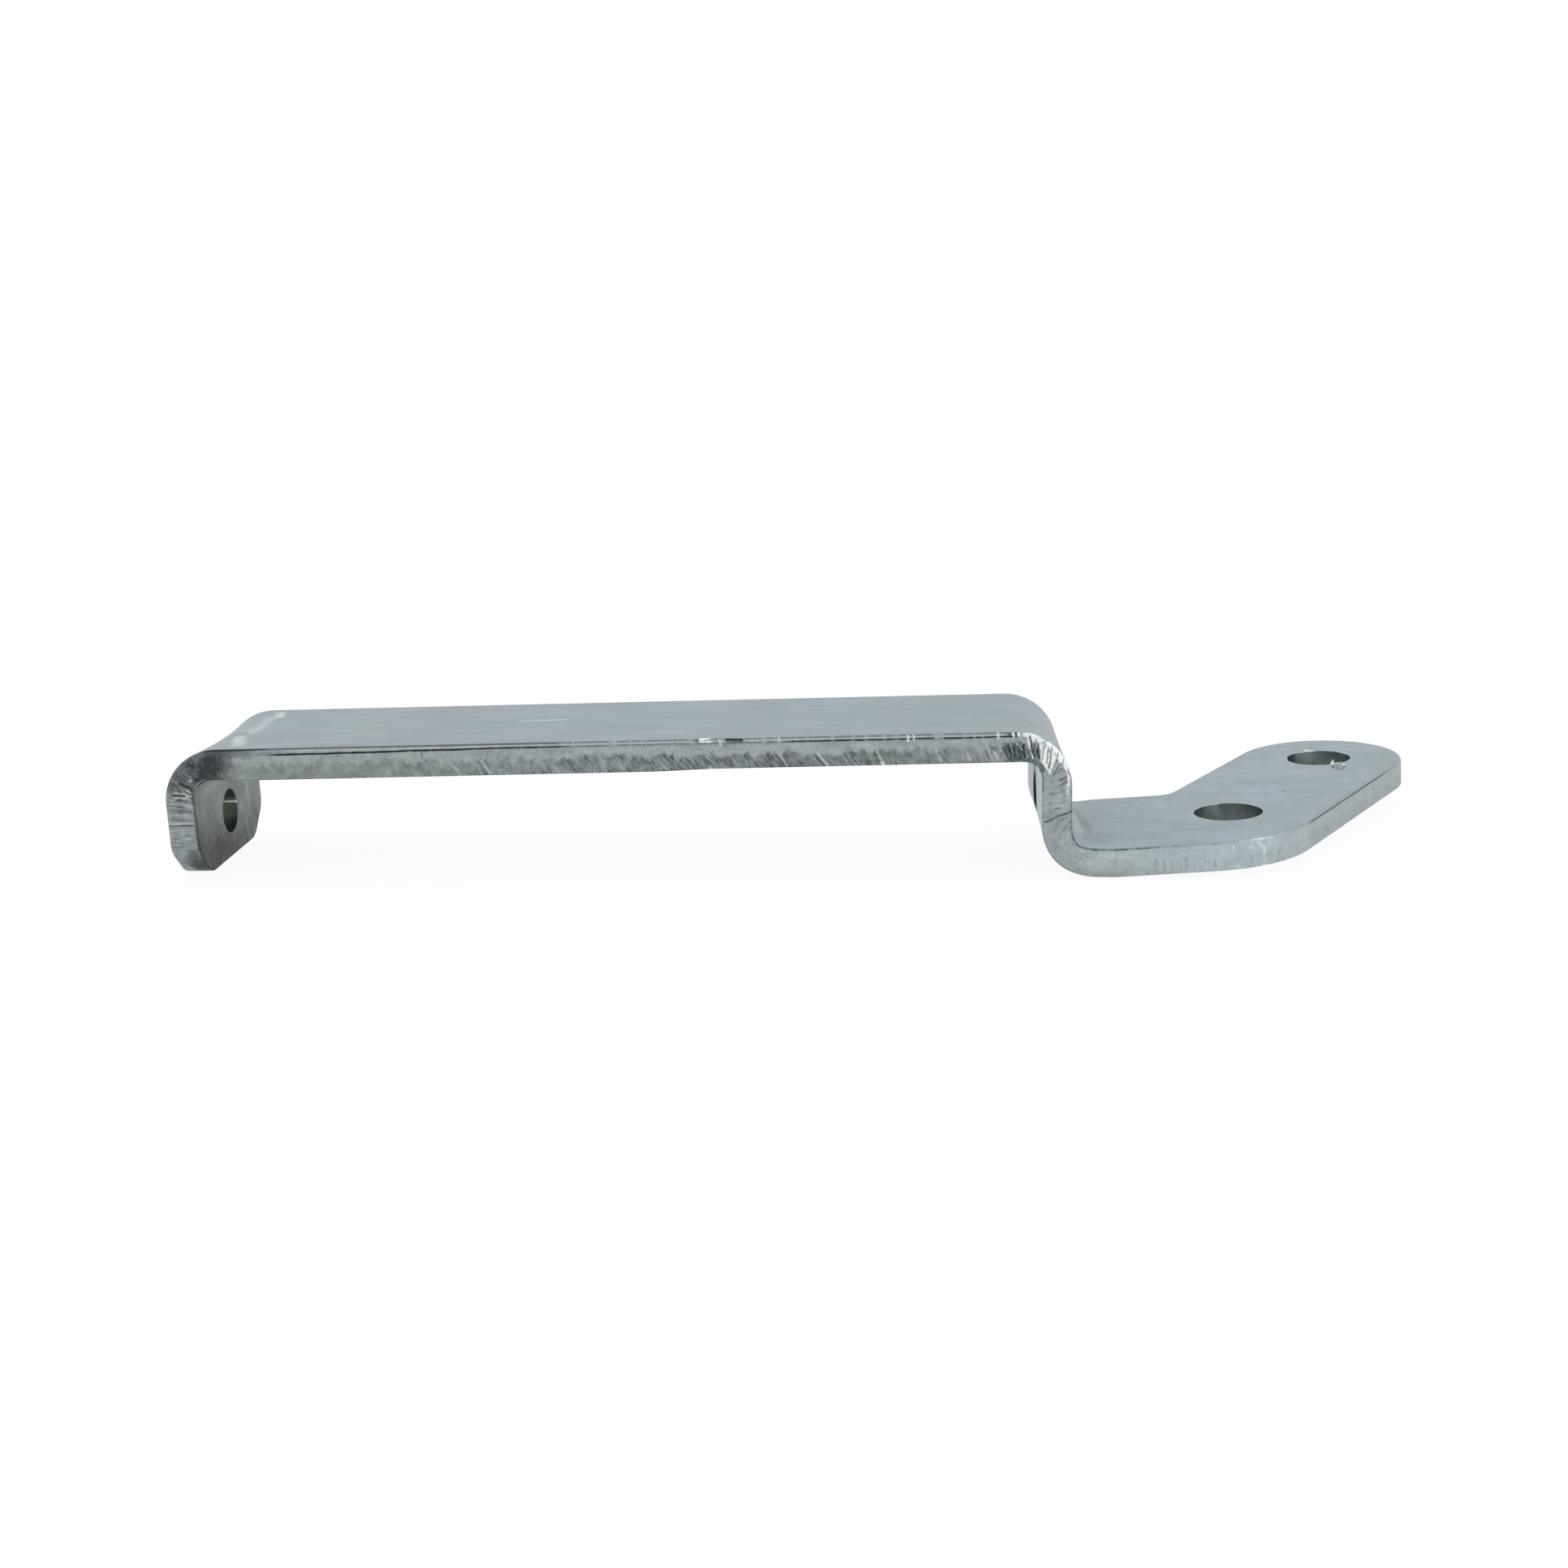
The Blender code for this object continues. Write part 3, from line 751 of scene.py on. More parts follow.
class Graph:
    """A node tree of materials, geometry or world, to which nodes are added by kind."""

    def __init__(self, tree):
        self.tree = tree

    def add(self, kind, settings=None, output=0, **links):
        """Adds a node, makes its settings, then sets or links its inputs by name, or by number as in_0."""
        node = self.tree.nodes.new(kind)
        for name, value in (settings or {}).items():
            setattr(node, name, value)
        for name, value in links.items():
            self.feed(self.pick(node.inputs, name), value)
        if not node.outputs:
            return node
        return Wire(self, self.pick(node.outputs, output))

    @staticmethod
    def pick(sockets, wanted):
        """The shown socket of a name or number."""
        shown = [socket for socket in sockets if socket.enabled]
        if isinstance(wanted, int):
            return shown[wanted]
        if wanted.startswith("in_") and wanted[3:].isdigit():
            return shown[int(wanted[3:])]
        return next(socket for socket in shown if socket.name.lower().replace(" ", "_") == wanted)

    def feed(self, socket, value):
        """Links a wire to a socket, or sets the socket's own value."""
        if isinstance(value, Wire):
            self.tree.links.new(value.socket, socket)
        elif socket.type == "RGBA" and len(value) == 3:
            socket.default_value = (*value, 1.0)
        else:
            socket.default_value = value

    def math(self, operation, *values, clamp=False):
        links = {f"in_{number}": value for number, value in enumerate(values)}
        return self.add("ShaderNodeMath", {"operation": operation, "use_clamp": clamp}, **links)

    def sum(self, first, second):
        """The sum of two vectors."""
        return self.add("ShaderNodeVectorMath", {"operation": "ADD"}, in_0=first, in_1=second)

    def scaled(self, vector, factor):
        """A vector or colour times a number."""
        return self.add("ShaderNodeVectorMath", {"operation": "SCALE"}, vector=vector, scale=factor)

    def join(self, x=0.0, y=0.0, z=0.0):
        return self.add("ShaderNodeCombineXYZ", x=x, y=y, z=z)

    def parts(self, vector):
        first = self.add("ShaderNodeSeparateXYZ", vector=vector)
        return [Wire(self, socket) for socket in first.socket.node.outputs]

    def noise(self, x, y, z, detail=2.0, roughness=0.55):
        place = self.join(x, y, z)
        return self.add("ShaderNodeTexNoise", vector=place, scale=1.0, detail=detail, roughness=roughness)

    def mix(self, factor, start, end):
        """Mix of two colours."""
        return self.add("ShaderNodeMix", {"data_type": "RGBA"}, factor=factor, a=start, b=end)

    def distance(self, x, y):
        """How far a place given by two coordinates is from their origin."""
        return self.math("SQRT", x * x + y * y)

    def spot(self, x, y, centre, radii, soft=0.5):
        """1 inside an ellipse, fading to 0 at its rim."""
        return self.distance((x - centre[0]) / radii[0], (y - centre[1]) / radii[1]).ramp(1.0, 1.0 - soft)

    def stroke(self, x, y, start, end, width):
        """1 along the line from start to end, fading to 0 at width from it."""
        run_x, run_y = end[0] - start[0], end[1] - start[1]
        from_x, from_y = x - start[0], y - start[1]
        nearest = from_x * run_x + from_y * run_y
        part = self.math("MULTIPLY", nearest, 1 / (run_x ** 2 + run_y ** 2), clamp=True)
        return self.distance(from_x - part * run_x, from_y - part * run_y).ramp(width, width * 0.3)

    def strokes(self, x, y, table):
        """The largest of several strokes, each with its start, end, width and strength."""
        return largest(*[self.stroke(x, y, *line) * strength for *line, strength in table])


class EdgePattern:
    """The fine marks that shearing and folding leave on the cut edge, for its relief and its colour alike."""

    def __init__(self, graph, run, depth, seed):
        self.graph, self.run, self.depth, self.seed = graph, run, depth, seed

    def noise(self, along, down, offset, detail=2.0, roughness=0.55):
        return self.graph.noise(along, down, self.seed + offset, detail, roughness)

    def torn(self):
        """1 in the torn lower part of the edge, whose upper border is ragged."""
        ragged = self.noise(self.run * 2.4, self.depth * 0.6, 0.0, 3.0) - 0.5
        return (self.depth + ragged * 1.3).ramp(0.68, 1.02)

    def tears(self):
        """Dark and light strokes that slant through the torn part, faint at the strip's left end."""
        run, depth = self.run, self.depth
        strip = run.ramp(-60.0, -44.0, 0.15, 1.0) * run.ramp(-31.0, -24.0, 1.0, 0.6)
        foot = run.ramp(-13.0, -6.0) * run.ramp(0.0, -2.0) * 0.4
        zone = self.torn() * largest(strip * run.ramp(-20.6, -21.3), foot)
        lean = run.ramp(-14.0, -10.0, 0.70, 0.05)
        slanted = run - depth * lean + (self.noise(run * 0.6, depth * 0.5, 1.0) - 0.5) * 0.7
        blotch = self.noise(slanted * 1.3, depth * 1.1, 30.0, 3.0).ramp(0.60, 0.42)
        dark = self.noise(slanted * 8.4, depth * 1.6, 2.0, 3.0).ramp(0.53, 0.37)
        light = self.noise(slanted * 9.4, depth * 1.2, 3.0).ramp(0.55, 0.68)
        return dark * zone * (blotch * 0.8 + 0.2), light * zone * (1 - blotch * 0.6)

    def ridges(self):
        """Dark and light ridges across the ear's edge, wavy by its bend and fine towards its end."""
        run, depth = self.run, self.depth
        zone = run.band(-68.7, -65.0, 0.5) * depth.ramp(0.02, 0.2)
        wavy = run.band(-66.2, -65.3, 0.6)
        warp = self.noise(run * 1.1, depth * 1.7, 5.0) - 0.5
        bent = run + warp * (wavy * 0.55 + 0.10)
        ridge = self.noise(bent * 16.5, depth * 0.6, 6.0, 2.0, 0.65)
        strength = (0.75 - wavy * 0.1) * zone
        return ridge.ramp(0.50, 0.34) * strength, ridge.ramp(0.50, 0.66) * strength

    def pleats(self):
        """Dark and light pleats that fan through the stretched edge of the riser's upper bend."""
        run, depth = self.run, self.depth
        lean = run.band(-19.9, -17.4, 0.9) * 0.45 + 0.28
        slanted = run - depth * lean
        zone = slanted.band(-21.2, -17.2, 0.3)
        lower = run.ramp(-20.0, -20.7) * 0.42
        zone = zone * (run + depth * 0.9).ramp(-16.6, -18.4) * (depth - lower).ramp(0.05, 0.25)
        zone *= 1 - (run - depth * 0.5).band(-20.30, -18.60, 0.25) * 0.75
        pleat = self.noise(slanted * 12.0, depth * 0.5, 7.0, 2.0, 0.6)
        return pleat.ramp(0.50, 0.38) * zone, pleat.ramp(0.50, 0.62) * zone


def new_group(name, inputs, output):
    """A geometry node group's graph, and its inputs by name. Each socket has a name and a kind."""
    tree = bpy.data.node_groups.new(name, "GeometryNodeTree")
    for direction, sockets in (("INPUT", inputs), ("OUTPUT", [output])):
        for label, kind in sockets:
            tree.interface.new_socket(name=label, in_out=direction, socket_type=f"NodeSocket{kind}")
    graph = Graph(tree)
    given = tree.nodes.new("NodeGroupInput")
    return graph, {socket.name: Wire(graph, socket) for socket in given.outputs if socket.name}


def end_group(graph, geometry, material):
    """Ends a geometry group with real faces of one material."""
    real = graph.add("GeometryNodeRealizeInstances", geometry=geometry)
    finished = graph.add("GeometryNodeSetMaterial", geometry=real, material=material)
    graph.add("NodeGroupOutput", in_0=finished)


GEOMETRY = ("Geometry", "Geometry")

# Relief that no setting changes, in millimetres
MARK_DEPTH = 0.06
GRIT_DEPTH = 0.012
GROOVE_WIDTH = 0.07

# Shares: how high light strokes and light marks stand for the depth of dark ones, and how much of its die
# roll the foot's straight edge lacks
STROKE_RAISED = 0.4
MARK_RAISED = 0.3
SQUARED = 0.7


def fold_group():
    """A node group that folds everything past one line of the sheet down or up."""
    numbers = [(name, "Float") for name in ("Along", "Start", "Middle Radius", "Turn", "Sheet")]
    graph, value = new_group("Fold sheet", [("Position", "Vector"), *numbers], ("Position", "Vector"))
    start, radius, turn = value["Start"], value["Middle Radius"], value["Turn"]
    bend = radius * abs(turn)
    slide = graph.math("MINIMUM", largest(start - value["Along"], 0.0), bend)
    centre = graph.join(start, 0.0, value["Sheet"] / 2 - radius * graph.math("SIGN", turn))
    slid = graph.sum(value["Position"], graph.join(slide, 0.0, 0.0))
    turned = graph.add(
        "ShaderNodeVectorRotate", {"rotation_type": "Y_AXIS"}, vector=slid, center=centre,
        angle=-(turn * slide / bend),
    )
    graph.add("NodeGroupOutput", in_0=turned)
    return graph.tree


def wear_and_fold_group(blank, wear, material):
    """A node group that presses the wear of punching into the flat blank and folds it."""
    settings = {"Sheet": blank.sheet, "Die Roll": blank.roll, "Seed": float(wear.seed)}
    for field in ("tear", "ridge", "pleat", "groove", "bulge", "saddle", "thin", "rise", "lip", "drag"):
        settings[wear.bl_rna.properties[field].name] = getattr(wear, field) / MM
    for number, fold in enumerate(blank.folds(), 1):
        settings.update(zip((f"Fold {number} Start", f"Fold {number} Radius", f"Fold {number} Turn"), fold))
    inputs = [GEOMETRY, *[(name, "Float") for name in settings]]
    graph, value = new_group("Wear and fold", inputs, GEOMETRY)

    def kept(name, kind="FLOAT"):
        return graph.add("GeometryNodeInputNamedAttribute", {"data_type": kind}, name=name)

    along, across, depth = graph.parts(kept("sheet", "FLOAT_VECTOR"))
    run, wall, hole = kept("run"), kept("wall"), kept("bore")
    rim = hole.ramp(0.5, 0.0)
    pattern = EdgePattern(graph, run, depth, value["Seed"])
    relief = (kept("light") * MARK_RAISED - kept("dark")) * MARK_DEPTH
    for (dark, light), name in (
        (pattern.tears(), "Tear Depth"), (pattern.ridges(), "Ridge Depth"), (pattern.pleats(), "Pleat Depth"),
    ):
        relief += (light * STROKE_RAISED - dark) * value[name]

    # A fine groove follows the lower end of the die roll along the strip
    grooved = run.band(blank.strip_ear_end + 3.0, blank.strip_riser_end + 0.2, 1.5)
    groove_line = abs(depth - value["Die Roll"]).ramp(GROOVE_WIDTH, 0.0)
    relief -= groove_line * grooved * value["Roll Groove"]

    # Each fold squeezes its inner side out of the edge, draws its outer side in, sinks in the middle of its
    # width and thins from its inner side
    inner = blank.ear_top_end + blank.top_radius * blank.top_turn / 2
    outer = blank.strip_riser_end + blank.top_radius * blank.top_turn / 2
    lower = blank.riser_foot_end + blank.foot_radius * blank.foot_turn / 2
    squeeze, sunk, thinned = 0.0, 0.0, 0.0
    lower_part, upper_part = depth.ramp(0.6, blank.sheet), depth.ramp(blank.sheet - 0.6, 0.0)
    for centre, direction, sinks, side in (
        (inner, 1, 1.0, lower_part * 0.3), (outer, 1, 0.3, lower_part), (lower, -1, -0.5, upper_part * -0.6),
    ):
        off = abs(along - centre)
        hump = off.ramp(2.3, 0.3)
        lean = (depth / blank.sheet - 0.45) * direction
        squeeze = hump * lean + squeeze
        sunk = hump * sinks + sunk
        thinned = off.ramp(1.7, 0.0) * side + thinned
    bulge = squeeze * rim * value["Bend Bulge"]
    aside = (across - blank.middle) / (blank.middle - blank.near)
    bowed = largest(1 - aside * aside, 0.0) - 0.2
    sunk = sunk * bowed * value["Bend Saddle"]

    # Torn steel is slightly rough everywhere
    grit = (graph.noise(run * 6.0, depth * 6.0, value["Seed"] + 4.0, 2.0, 0.5) - 0.5) * GRIT_DEPTH
    push = (relief * rim + bulge + grit) * wall

    # The foot's straight edge has next to no die roll
    square = run.band(-12.6, 1.0, 1.5) * depth.ramp(0.9, 0.5) * rim * (1 - wall)
    push += square * value["Die Roll"] * SQUARED

    # The lower side's edge is uneven and drawn down along the strip, and the foot lifts before its bend
    ripple = graph.noise(run * 2.4, 1.3, value["Seed"], 3.0, 0.5) - 0.5
    low = depth.ramp(blank.sheet - 0.12, blank.sheet) * wall.ramp(0.2, 1.0)
    drawn = run.band(-61.0, -40.0, 4.0) * depth.ramp(0.9, blank.sheet) * wall.ramp(0.0, 0.5) * rim
    risen = abs(along - blank.foot_start + 0.5).ramp(1.5, 0.1)
    risen *= across.ramp(blank.near, blank.far - 2.0, 1.0, -0.6)
    height = ripple * low * value["Lower Lip"] - sunk + thinned * value["Bend Thinning"]
    height = height + risen * value["Foot Rise"] - drawn * value["Drawn Lip"]
    lift = graph.join(0.0, 0.0, height)

    place = graph.sum(graph.add("GeometryNodeInputPosition"), lift)
    place = graph.sum(place, graph.scaled(kept("outward", "FLOAT_VECTOR"), push))
    fold = fold_group()
    for number in (1, 2, 3):
        start, radius, turn = [value[f"Fold {number} {part}"] for part in ("Start", "Radius", "Turn")]
        place = graph.add(
            "GeometryNodeGroup", {"node_tree": fold}, position=place, along=along, start=start,
            middle_radius=radius, turn=turn, sheet=value["Sheet"],
        )
    place = graph.scaled(place, MM)
    folded = graph.add("GeometryNodeSetPosition", geometry=value["Geometry"], position=place)
    end_group(graph, folded, material)
    return graph.tree, settings


def run_nodes(made, tree, settings):
    """Runs a geometry tree on an object and keeps its result as a plain mesh."""
    modifier = made.modifiers.new(tree.name, "NODES")
    modifier.node_group = tree
    for item in tree.interface.items_tree:
        if item.in_out == "INPUT" and item.name in settings:
            modifier[item.identifier] = settings[item.name]
    bpy.context.view_layer.update()
    evaluated = made.evaluated_get(bpy.context.evaluated_depsgraph_get())
    plain = bpy.data.meshes.new_from_object(evaluated)
    made.modifiers.remove(modifier)
    before = made.data
    made.data = plain
    bpy.data.meshes.remove(before)
    plain.name = made.name


class Plate:
    """The node tree of the zinc plate, with each place on the sheet that its functions paint by."""

    def __init__(self, name, blank, finish, seed):
        self.material = bpy.data.materials.new(name)
        self.material.use_nodes = True
        self.blank, self.finish, self.seed = blank, finish, float(seed)
        graph = self.graph = Graph(self.material.node_tree)
        self.shader = self.material.node_tree.nodes["Principled BSDF"]
        self.along, self.across, self.depth = graph.parts(self.kept("sheet", True))
        self.run, self.wall, self.hole = self.kept("run"), self.kept("wall"), self.kept("bore")
        self.from_near = self.across - blank.near
        self.cut = self.wall.ramp(0.25, 0.8)
        self.in_bore = self.hole.ramp(0.0, 0.8)
        self.upper = self.depth.ramp(0.9, 0.5)

    def kept(self, name, vector=False):
        return self.graph.add("ShaderNodeAttribute", {"attribute_name": name}, "vector" if vector else "fac")


# Fine strokes on the faces, along the sheet and across it from the near rim. Each has its start, its end, its
# width and its strength.
# Painted highlights across the ear's bend
BEND_HIGHLIGHTS = (
    ((-62.55, 9.8), (-62.2, 8.7), 0.45, 0.42),
    ((-62.5, 8.5), (-62.3, 4.8), 0.55, 0.22),
    ((-62.7, 3.4), (-62.2, 1.2), 0.55, 0.40),
)
SCRATCHES = (
    ((-47.8, 5.9), (-45.2, 6.05), 0.16, 0.35),
    ((-57.4, 3.2), (-54.6, 3.3), 0.08, 0.25),
    ((-33.0, 7.6), (-30.4, 7.7), 0.08, 0.20),
    ((-41.0, 2.1), (-37.8, 1.9), 0.08, 0.20),
)
# Painted shade in the hollow of the foot's bend
BEND_SHADE = (
    ((-12.23, 8.6), (-12.03, 5.8), 0.45, 0.42),
    ((-12.03, 6.2), (-11.83, 3.3), 0.65, 0.52),
)
# Painted shadows of the second screw hole's burr
BURR_SHADOWS = (
    ((4.02, 15.0), (4.20, 14.3), 0.20, 0.60),
    ((4.28, 14.7), (4.42, 14.2), 0.15, 0.75),
    ((4.74, 15.0), (4.70, 14.4), 0.11, 0.45),
)
# Colour of the painted shade and shadows on the faces, and of one dark speck
SHADE_AND_SPECK = (0.10, 0.12, 0.12)
BORE_DIRT = (0.135, 0.130, 0.085)
BUMP_DEPTH = 0.03 * MM


def paint_faces(plate):
    """Colour of the rolled faces, their scratches, painted highlights and painted shade, and their grain."""
    graph, finish, along, across = plate.graph, plate.finish, plate.along, plate.from_near
    clouds = graph.noise(along * 0.22, across * 0.45, 0.0, 3.0)
    grain = graph.noise(along * 0.22, across * 3.0, 2.0, 4.0, 0.6)
    hairs = graph.noise(along * 0.6, across * 10.0, 4.0, 3.0, 0.6)
    specks = graph.noise(along * 2.2, across * 2.2, 7.0, 3.0, 0.65)
    streaky = along.ramp(-15.0, -9.0, 1.0, 0.25)
    blots = (graph.noise(along * 0.8, across * 0.8, 25.0, 4.0, 0.6) - 0.5) * (1.0 - streaky)
    tone = (clouds - 0.5) * 0.46 + (grain - 0.5) * streaky * 0.46 + (hairs - 0.5) * streaky * 0.28
    tone = tone + (specks - 0.5) * 0.40 + blots * 0.50
    tone += along.ramp(-11.0, -4.0) * 0.09
    face = graph.scaled(finish.face, tone + 1.0)
    warm = graph.noise(along * 0.35, across * 0.6, 11.0).ramp(0.42, 0.70)
    face = graph.mix(warm * 0.6, face, np.multiply(finish.face, (1.00, 1.02, 0.92)))

    # Painted highlights across the ear's bend, and a few bright scratches
    drift = along + (clouds - 0.5) * 0.8
    highlight_breakup = graph.noise(along * 1.6, across * 1.0, 5.0, 4.0, 0.65).ramp(0.30, 0.70, 0.35, 1.0)
    highlight_spot = graph.spot(drift, across, (-62.35, 4.5), (0.45, 0.9), 0.9) * 0.32
    bend_highlight = largest(graph.strokes(drift, across, BEND_HIGHLIGHTS), highlight_spot) * highlight_breakup
    warp = (graph.noise(along * 0.8, across, 3.0) - 0.5) * 0.25
    scratches = graph.strokes(along, across + warp, SCRATCHES)
    # A painted glint on the near rim of the riser's upper bend, and a faint painted sheen in the foot's bend
    rim_glint = along.band(-20.0, -17.8, 0.35) * across.ramp(0.5, 0.1) * specks.ramp(0.4, 0.5)
    fillet = graph.stroke(along, across, (-12.75, 6.6), (-12.70, 3.2), 0.50) * 0.07
    bright_and_highlight = largest(bend_highlight, scratches, rim_glint * 0.9, fillet)
    face = graph.mix(bright_and_highlight * plate.upper, face, finish.bright)

    # Painted shade in the foot bend's hollow, painted shadows by the second screw hole's burr, and one dark
    # speck
    shade_warp = (specks - 0.5) * 1.8
    hollow = largest(
        graph.strokes(along + shade_warp, across, BEND_SHADE),
        graph.spot(along + shade_warp, across, (-12.43, 2.0), (0.35, 0.6), 0.8) * 0.40,
        graph.spot(along + shade_warp * 1.5, across, (-11.6, 2.6), (1.1, 2.6), 0.9) * 0.30,
        graph.spot(along, across, (-11.5, 4.6), (2.0, 5.0), 0.9) * 0.14,
        graph.strokes(along, across, BURR_SHADOWS),
        graph.spot(along, across, (0.2, 10.05), (0.12, 0.25), 0.6) * 0.6,
    )
    face = graph.mix(hollow * plate.upper, face, SHADE_AND_SPECK)

    # The inner side is as the outer one, but darker and blotchy on the ear, as duller plate and painted shade
    on_ear = along.ramp(-58.0, -63.5)
    inner_tone = (clouds - 0.5) * 1.6 + (specks - 0.5) * 1.1
    brushed = graph.noise(along * 0.5, across * 2.4, 9.0, 3.0, 0.6) - 0.5
    inner_tone += brushed * across.ramp(6.5, 8.5, 0.3, 2.2)
    inner_tone -= (along + across * 0.10).ramp(-66.8, -69.6) * 0.72
    inner_tone = inner_tone - across.ramp(5.6, 3.4) * 0.14 + across.ramp(6.8, 8.2) * 0.20
    inner_tone -= across.ramp(1.4, 0.1) * 0.22
    inner_tone += graph.spot(along, across, (-65.9, 2.6), (0.7, 1.9), 0.7) * 0.22
    inner_tone += graph.spot(along, across, (-68.3, 7.2), (0.22, 0.35), 0.7) * 0.5
    inner = graph.scaled(finish.inner, inner_tone + 1.0)
    inner = graph.mix(on_ear, graph.scaled(finish.face, (clouds - 0.5) * 0.5 + 1.08), inner)
    # A painted sheen on the riser's inner side, and painted shade above the riser's hole
    sheen = along.band(-18.8, -14.4, 0.4) * across.ramp(5.6, 5.1)
    inner = graph.mix(sheen, inner, np.multiply(finish.face, (1.24, 1.30, 1.16)))
    shade_above_hole = graph.spot(along, across, (-16.90, 5.30), (1.00, 1.20), 0.35)
    inner = graph.mix(shade_above_hole * 0.9, inner, finish.crevice_shade)
    face = graph.mix(plate.upper, inner, face)
    relief = (grain * 0.5 + hairs * finish.grain) * streaky + specks * 0.25
    return face, bend_highlight * plate.upper, relief, grain, specks


def paint_edges(plate):
    """Colour of cut edges with tears, ridges, pleats, stains, lines, painted shade and highlights, and their
    relief.
    """
    graph, blank, finish, run, depth = plate.graph, plate.blank, plate.finish, plate.run, plate.depth
    pattern = EdgePattern(graph, run, depth, plate.seed)
    torn = pattern.torn()
    tear_dark, tear_light = pattern.tears()
    ridge_dark, ridge_light = pattern.ridges()
    pleat_dark, pleat_light = pattern.pleats()
    patches = graph.noise(run * 0.9, depth * 1.5, 9.0, 3.0) - 0.5
    mottle = graph.noise(run * 3.2, depth * 3.2, 13.0, 3.0, 0.65) - 0.5
    streaks = graph.noise(run * 7.0, depth * 0.8, 15.0, 3.0, 0.6) - 0.5
    grit = graph.noise(run * 9.0, depth * 9.0, 23.0, 2.0, 0.6) - 0.5

    on_ear = run.ramp(blank.strip_ear_end, blank.ear_top_end)
    on_foot = run.ramp(blank.riser_top_end - 3.0, blank.foot_start + 2.5)
    on_strip = (1 - on_ear) * run.ramp(blank.strip_riser_end + 0.5, blank.strip_riser_end - 0.5)
    left = run.ramp(-45.0, -58.0) * (1 - on_ear)
    tint = (depth + patches * 2.4).ramp(0.45, 1.25) * mottle.ramp(-0.25, 0.10, 0.35, 0.75)
    base = graph.mix(left * tint, finish.edge, finish.edge_olive)
    # The foot's edge is lighter, as a painted reflection of the bright floor
    base = graph.mix(on_foot, base, finish.edge_floor_reflection)
    olive = graph.spot(run + patches * 3.0, depth + mottle * 1.2, (-11.0, 1.62), (3.2, 0.72), 0.8) * 0.75
    base = graph.mix(olive, base, np.multiply(finish.edge_floor_reflection, (0.72, 0.76, 0.62)))

    right = run.ramp(-50.0, -34.0) * run.ramp(-29.0, -23.0, 1.0, 0.10)
    calm = 1 - run.ramp(blank.foot_start, blank.foot_start + 4.0) * 0.6
    tone = (patches * 0.75 + mottle * 0.75) * calm + grit * 0.28
    tone += streaks * (run.band(-8.0, -2.0, 2.0) * 0.16 + 0.08)
    tone = tone - torn * on_strip * (0.165 + right * 0.22) + right * on_strip * 0.05
    tone = tone - on_ear * 0.15 - run.band(-15.6, -12.6, 0.8) * 0.12 + run.band(-6.0, -2.0, 1.5) * 0.08
    tone = tone - run.ramp(0.0, 2.5) * 0.14 - run.ramp(-68.0, -69.0) * 0.14
    # Painted shade along the rounded lower edge
    tone -= depth.ramp(blank.sheet - 0.09, blank.sheet) * 0.26
    # The dark sides of tears, ridges and pleats are painted shade over their relief
    tone = tone - tear_dark * (0.46 - right * 0.10) - ridge_dark * 0.55 - pleat_dark * 0.60
    edge = graph.scaled(base, largest(tone + 1.0, 0.08))
    edge = graph.mix(tear_dark * right * 0.30, edge, finish.slate)

    # The stain on the ear's bend, bluish streaks up to its rim, and painted shade under the roll beside it
    # and at the clip
    blotch = graph.noise(run * 1.6, depth * 1.6, 6.0, 4.0, 0.6) - 0.5
    rays = graph.noise((run + 64.5) * (1.4 - depth * 0.3) * 6.0, depth * 0.7, 17.0, 3.0, 0.6) - 0.5
    aslant = run + depth * 0.35
    stain = graph.spot(aslant + blotch * 2.0, depth + blotch * 1.6, (-63.30, 0.92), (1.75, 1.55), 0.62)
    stain = stain * (blotch * 0.9 + mottle * 0.7 + 0.98) * (depth + blotch * 0.6).ramp(0.0, 0.55, 0.62, 1.0)
    veil = graph.spot(run + blotch * 1.6, depth, (-64.4, 0.45), (2.3, 1.4), 0.8) * (rays * 2.0 + 0.60)
    roll_shade = graph.spot(run + blotch * 2.2, depth + blotch * 0.8, (-62.2, 0.16), (1.7, 0.55), 0.8)
    roll_shade *= mottle * 1.2 + 0.46
    roll_shade = largest(roll_shade, graph.spot(run + blotch * 2.0, depth, (-60.5, 0.26), (2.6, 0.16), 0.7) * 0.22)
    clip = graph.spot(run + blotch * 1.4, depth + blotch * 1.2, (-70.3, 1.35), (1.58, 1.22), 0.7) * 0.90
    edge = graph.mix(roll_shade.clamped(), edge, np.multiply(finish.crevice_shade, 1.2))
    stain_and_shade = largest(stain, veil).clamped()
    edge = graph.mix(stain_and_shade, edge, finish.stain)
    edge = graph.mix(clip, edge, np.multiply(finish.crevice_shade, 1.6))
    stain_and_shade = largest(stain_and_shade, clip)
    pale = graph.spot(run + blotch * 1.2, depth, (-69.2, 0.50), (0.9, 0.7), 0.8) * 0.04

    # Dark torn metal under the pleats of the riser's upper bend, and painted highlights on and between them
    jag = pattern.noise(run * 6.0, 0.5, 21.0) - 0.5
    leaning = run - depth * 0.5
    slate = leaning.band(-21.70, -19.80, 0.25) * (depth + patches * 1.0).ramp(0.45, 0.80)
    slate *= streaks * 2.0 + 0.74
    under = graph.stroke(run, depth + mottle * 0.3, (-19.35, 1.40), (-18.45, 1.42), 0.24) * 0.75
    edge = graph.mix(largest(slate, under), edge, finish.slate)
    bright_and_highlight = (leaning - depth * 0.05).band(-19.42, -18.80, 0.15) * (depth + jag * 0.3).ramp(1.22, 1.05)
    # A painted highlight along the die roll above the pleats
    outer_rim = run.band(-19.75, -17.95, 0.30) * (depth + jag * 1.1).ramp(0.30, 0.12)
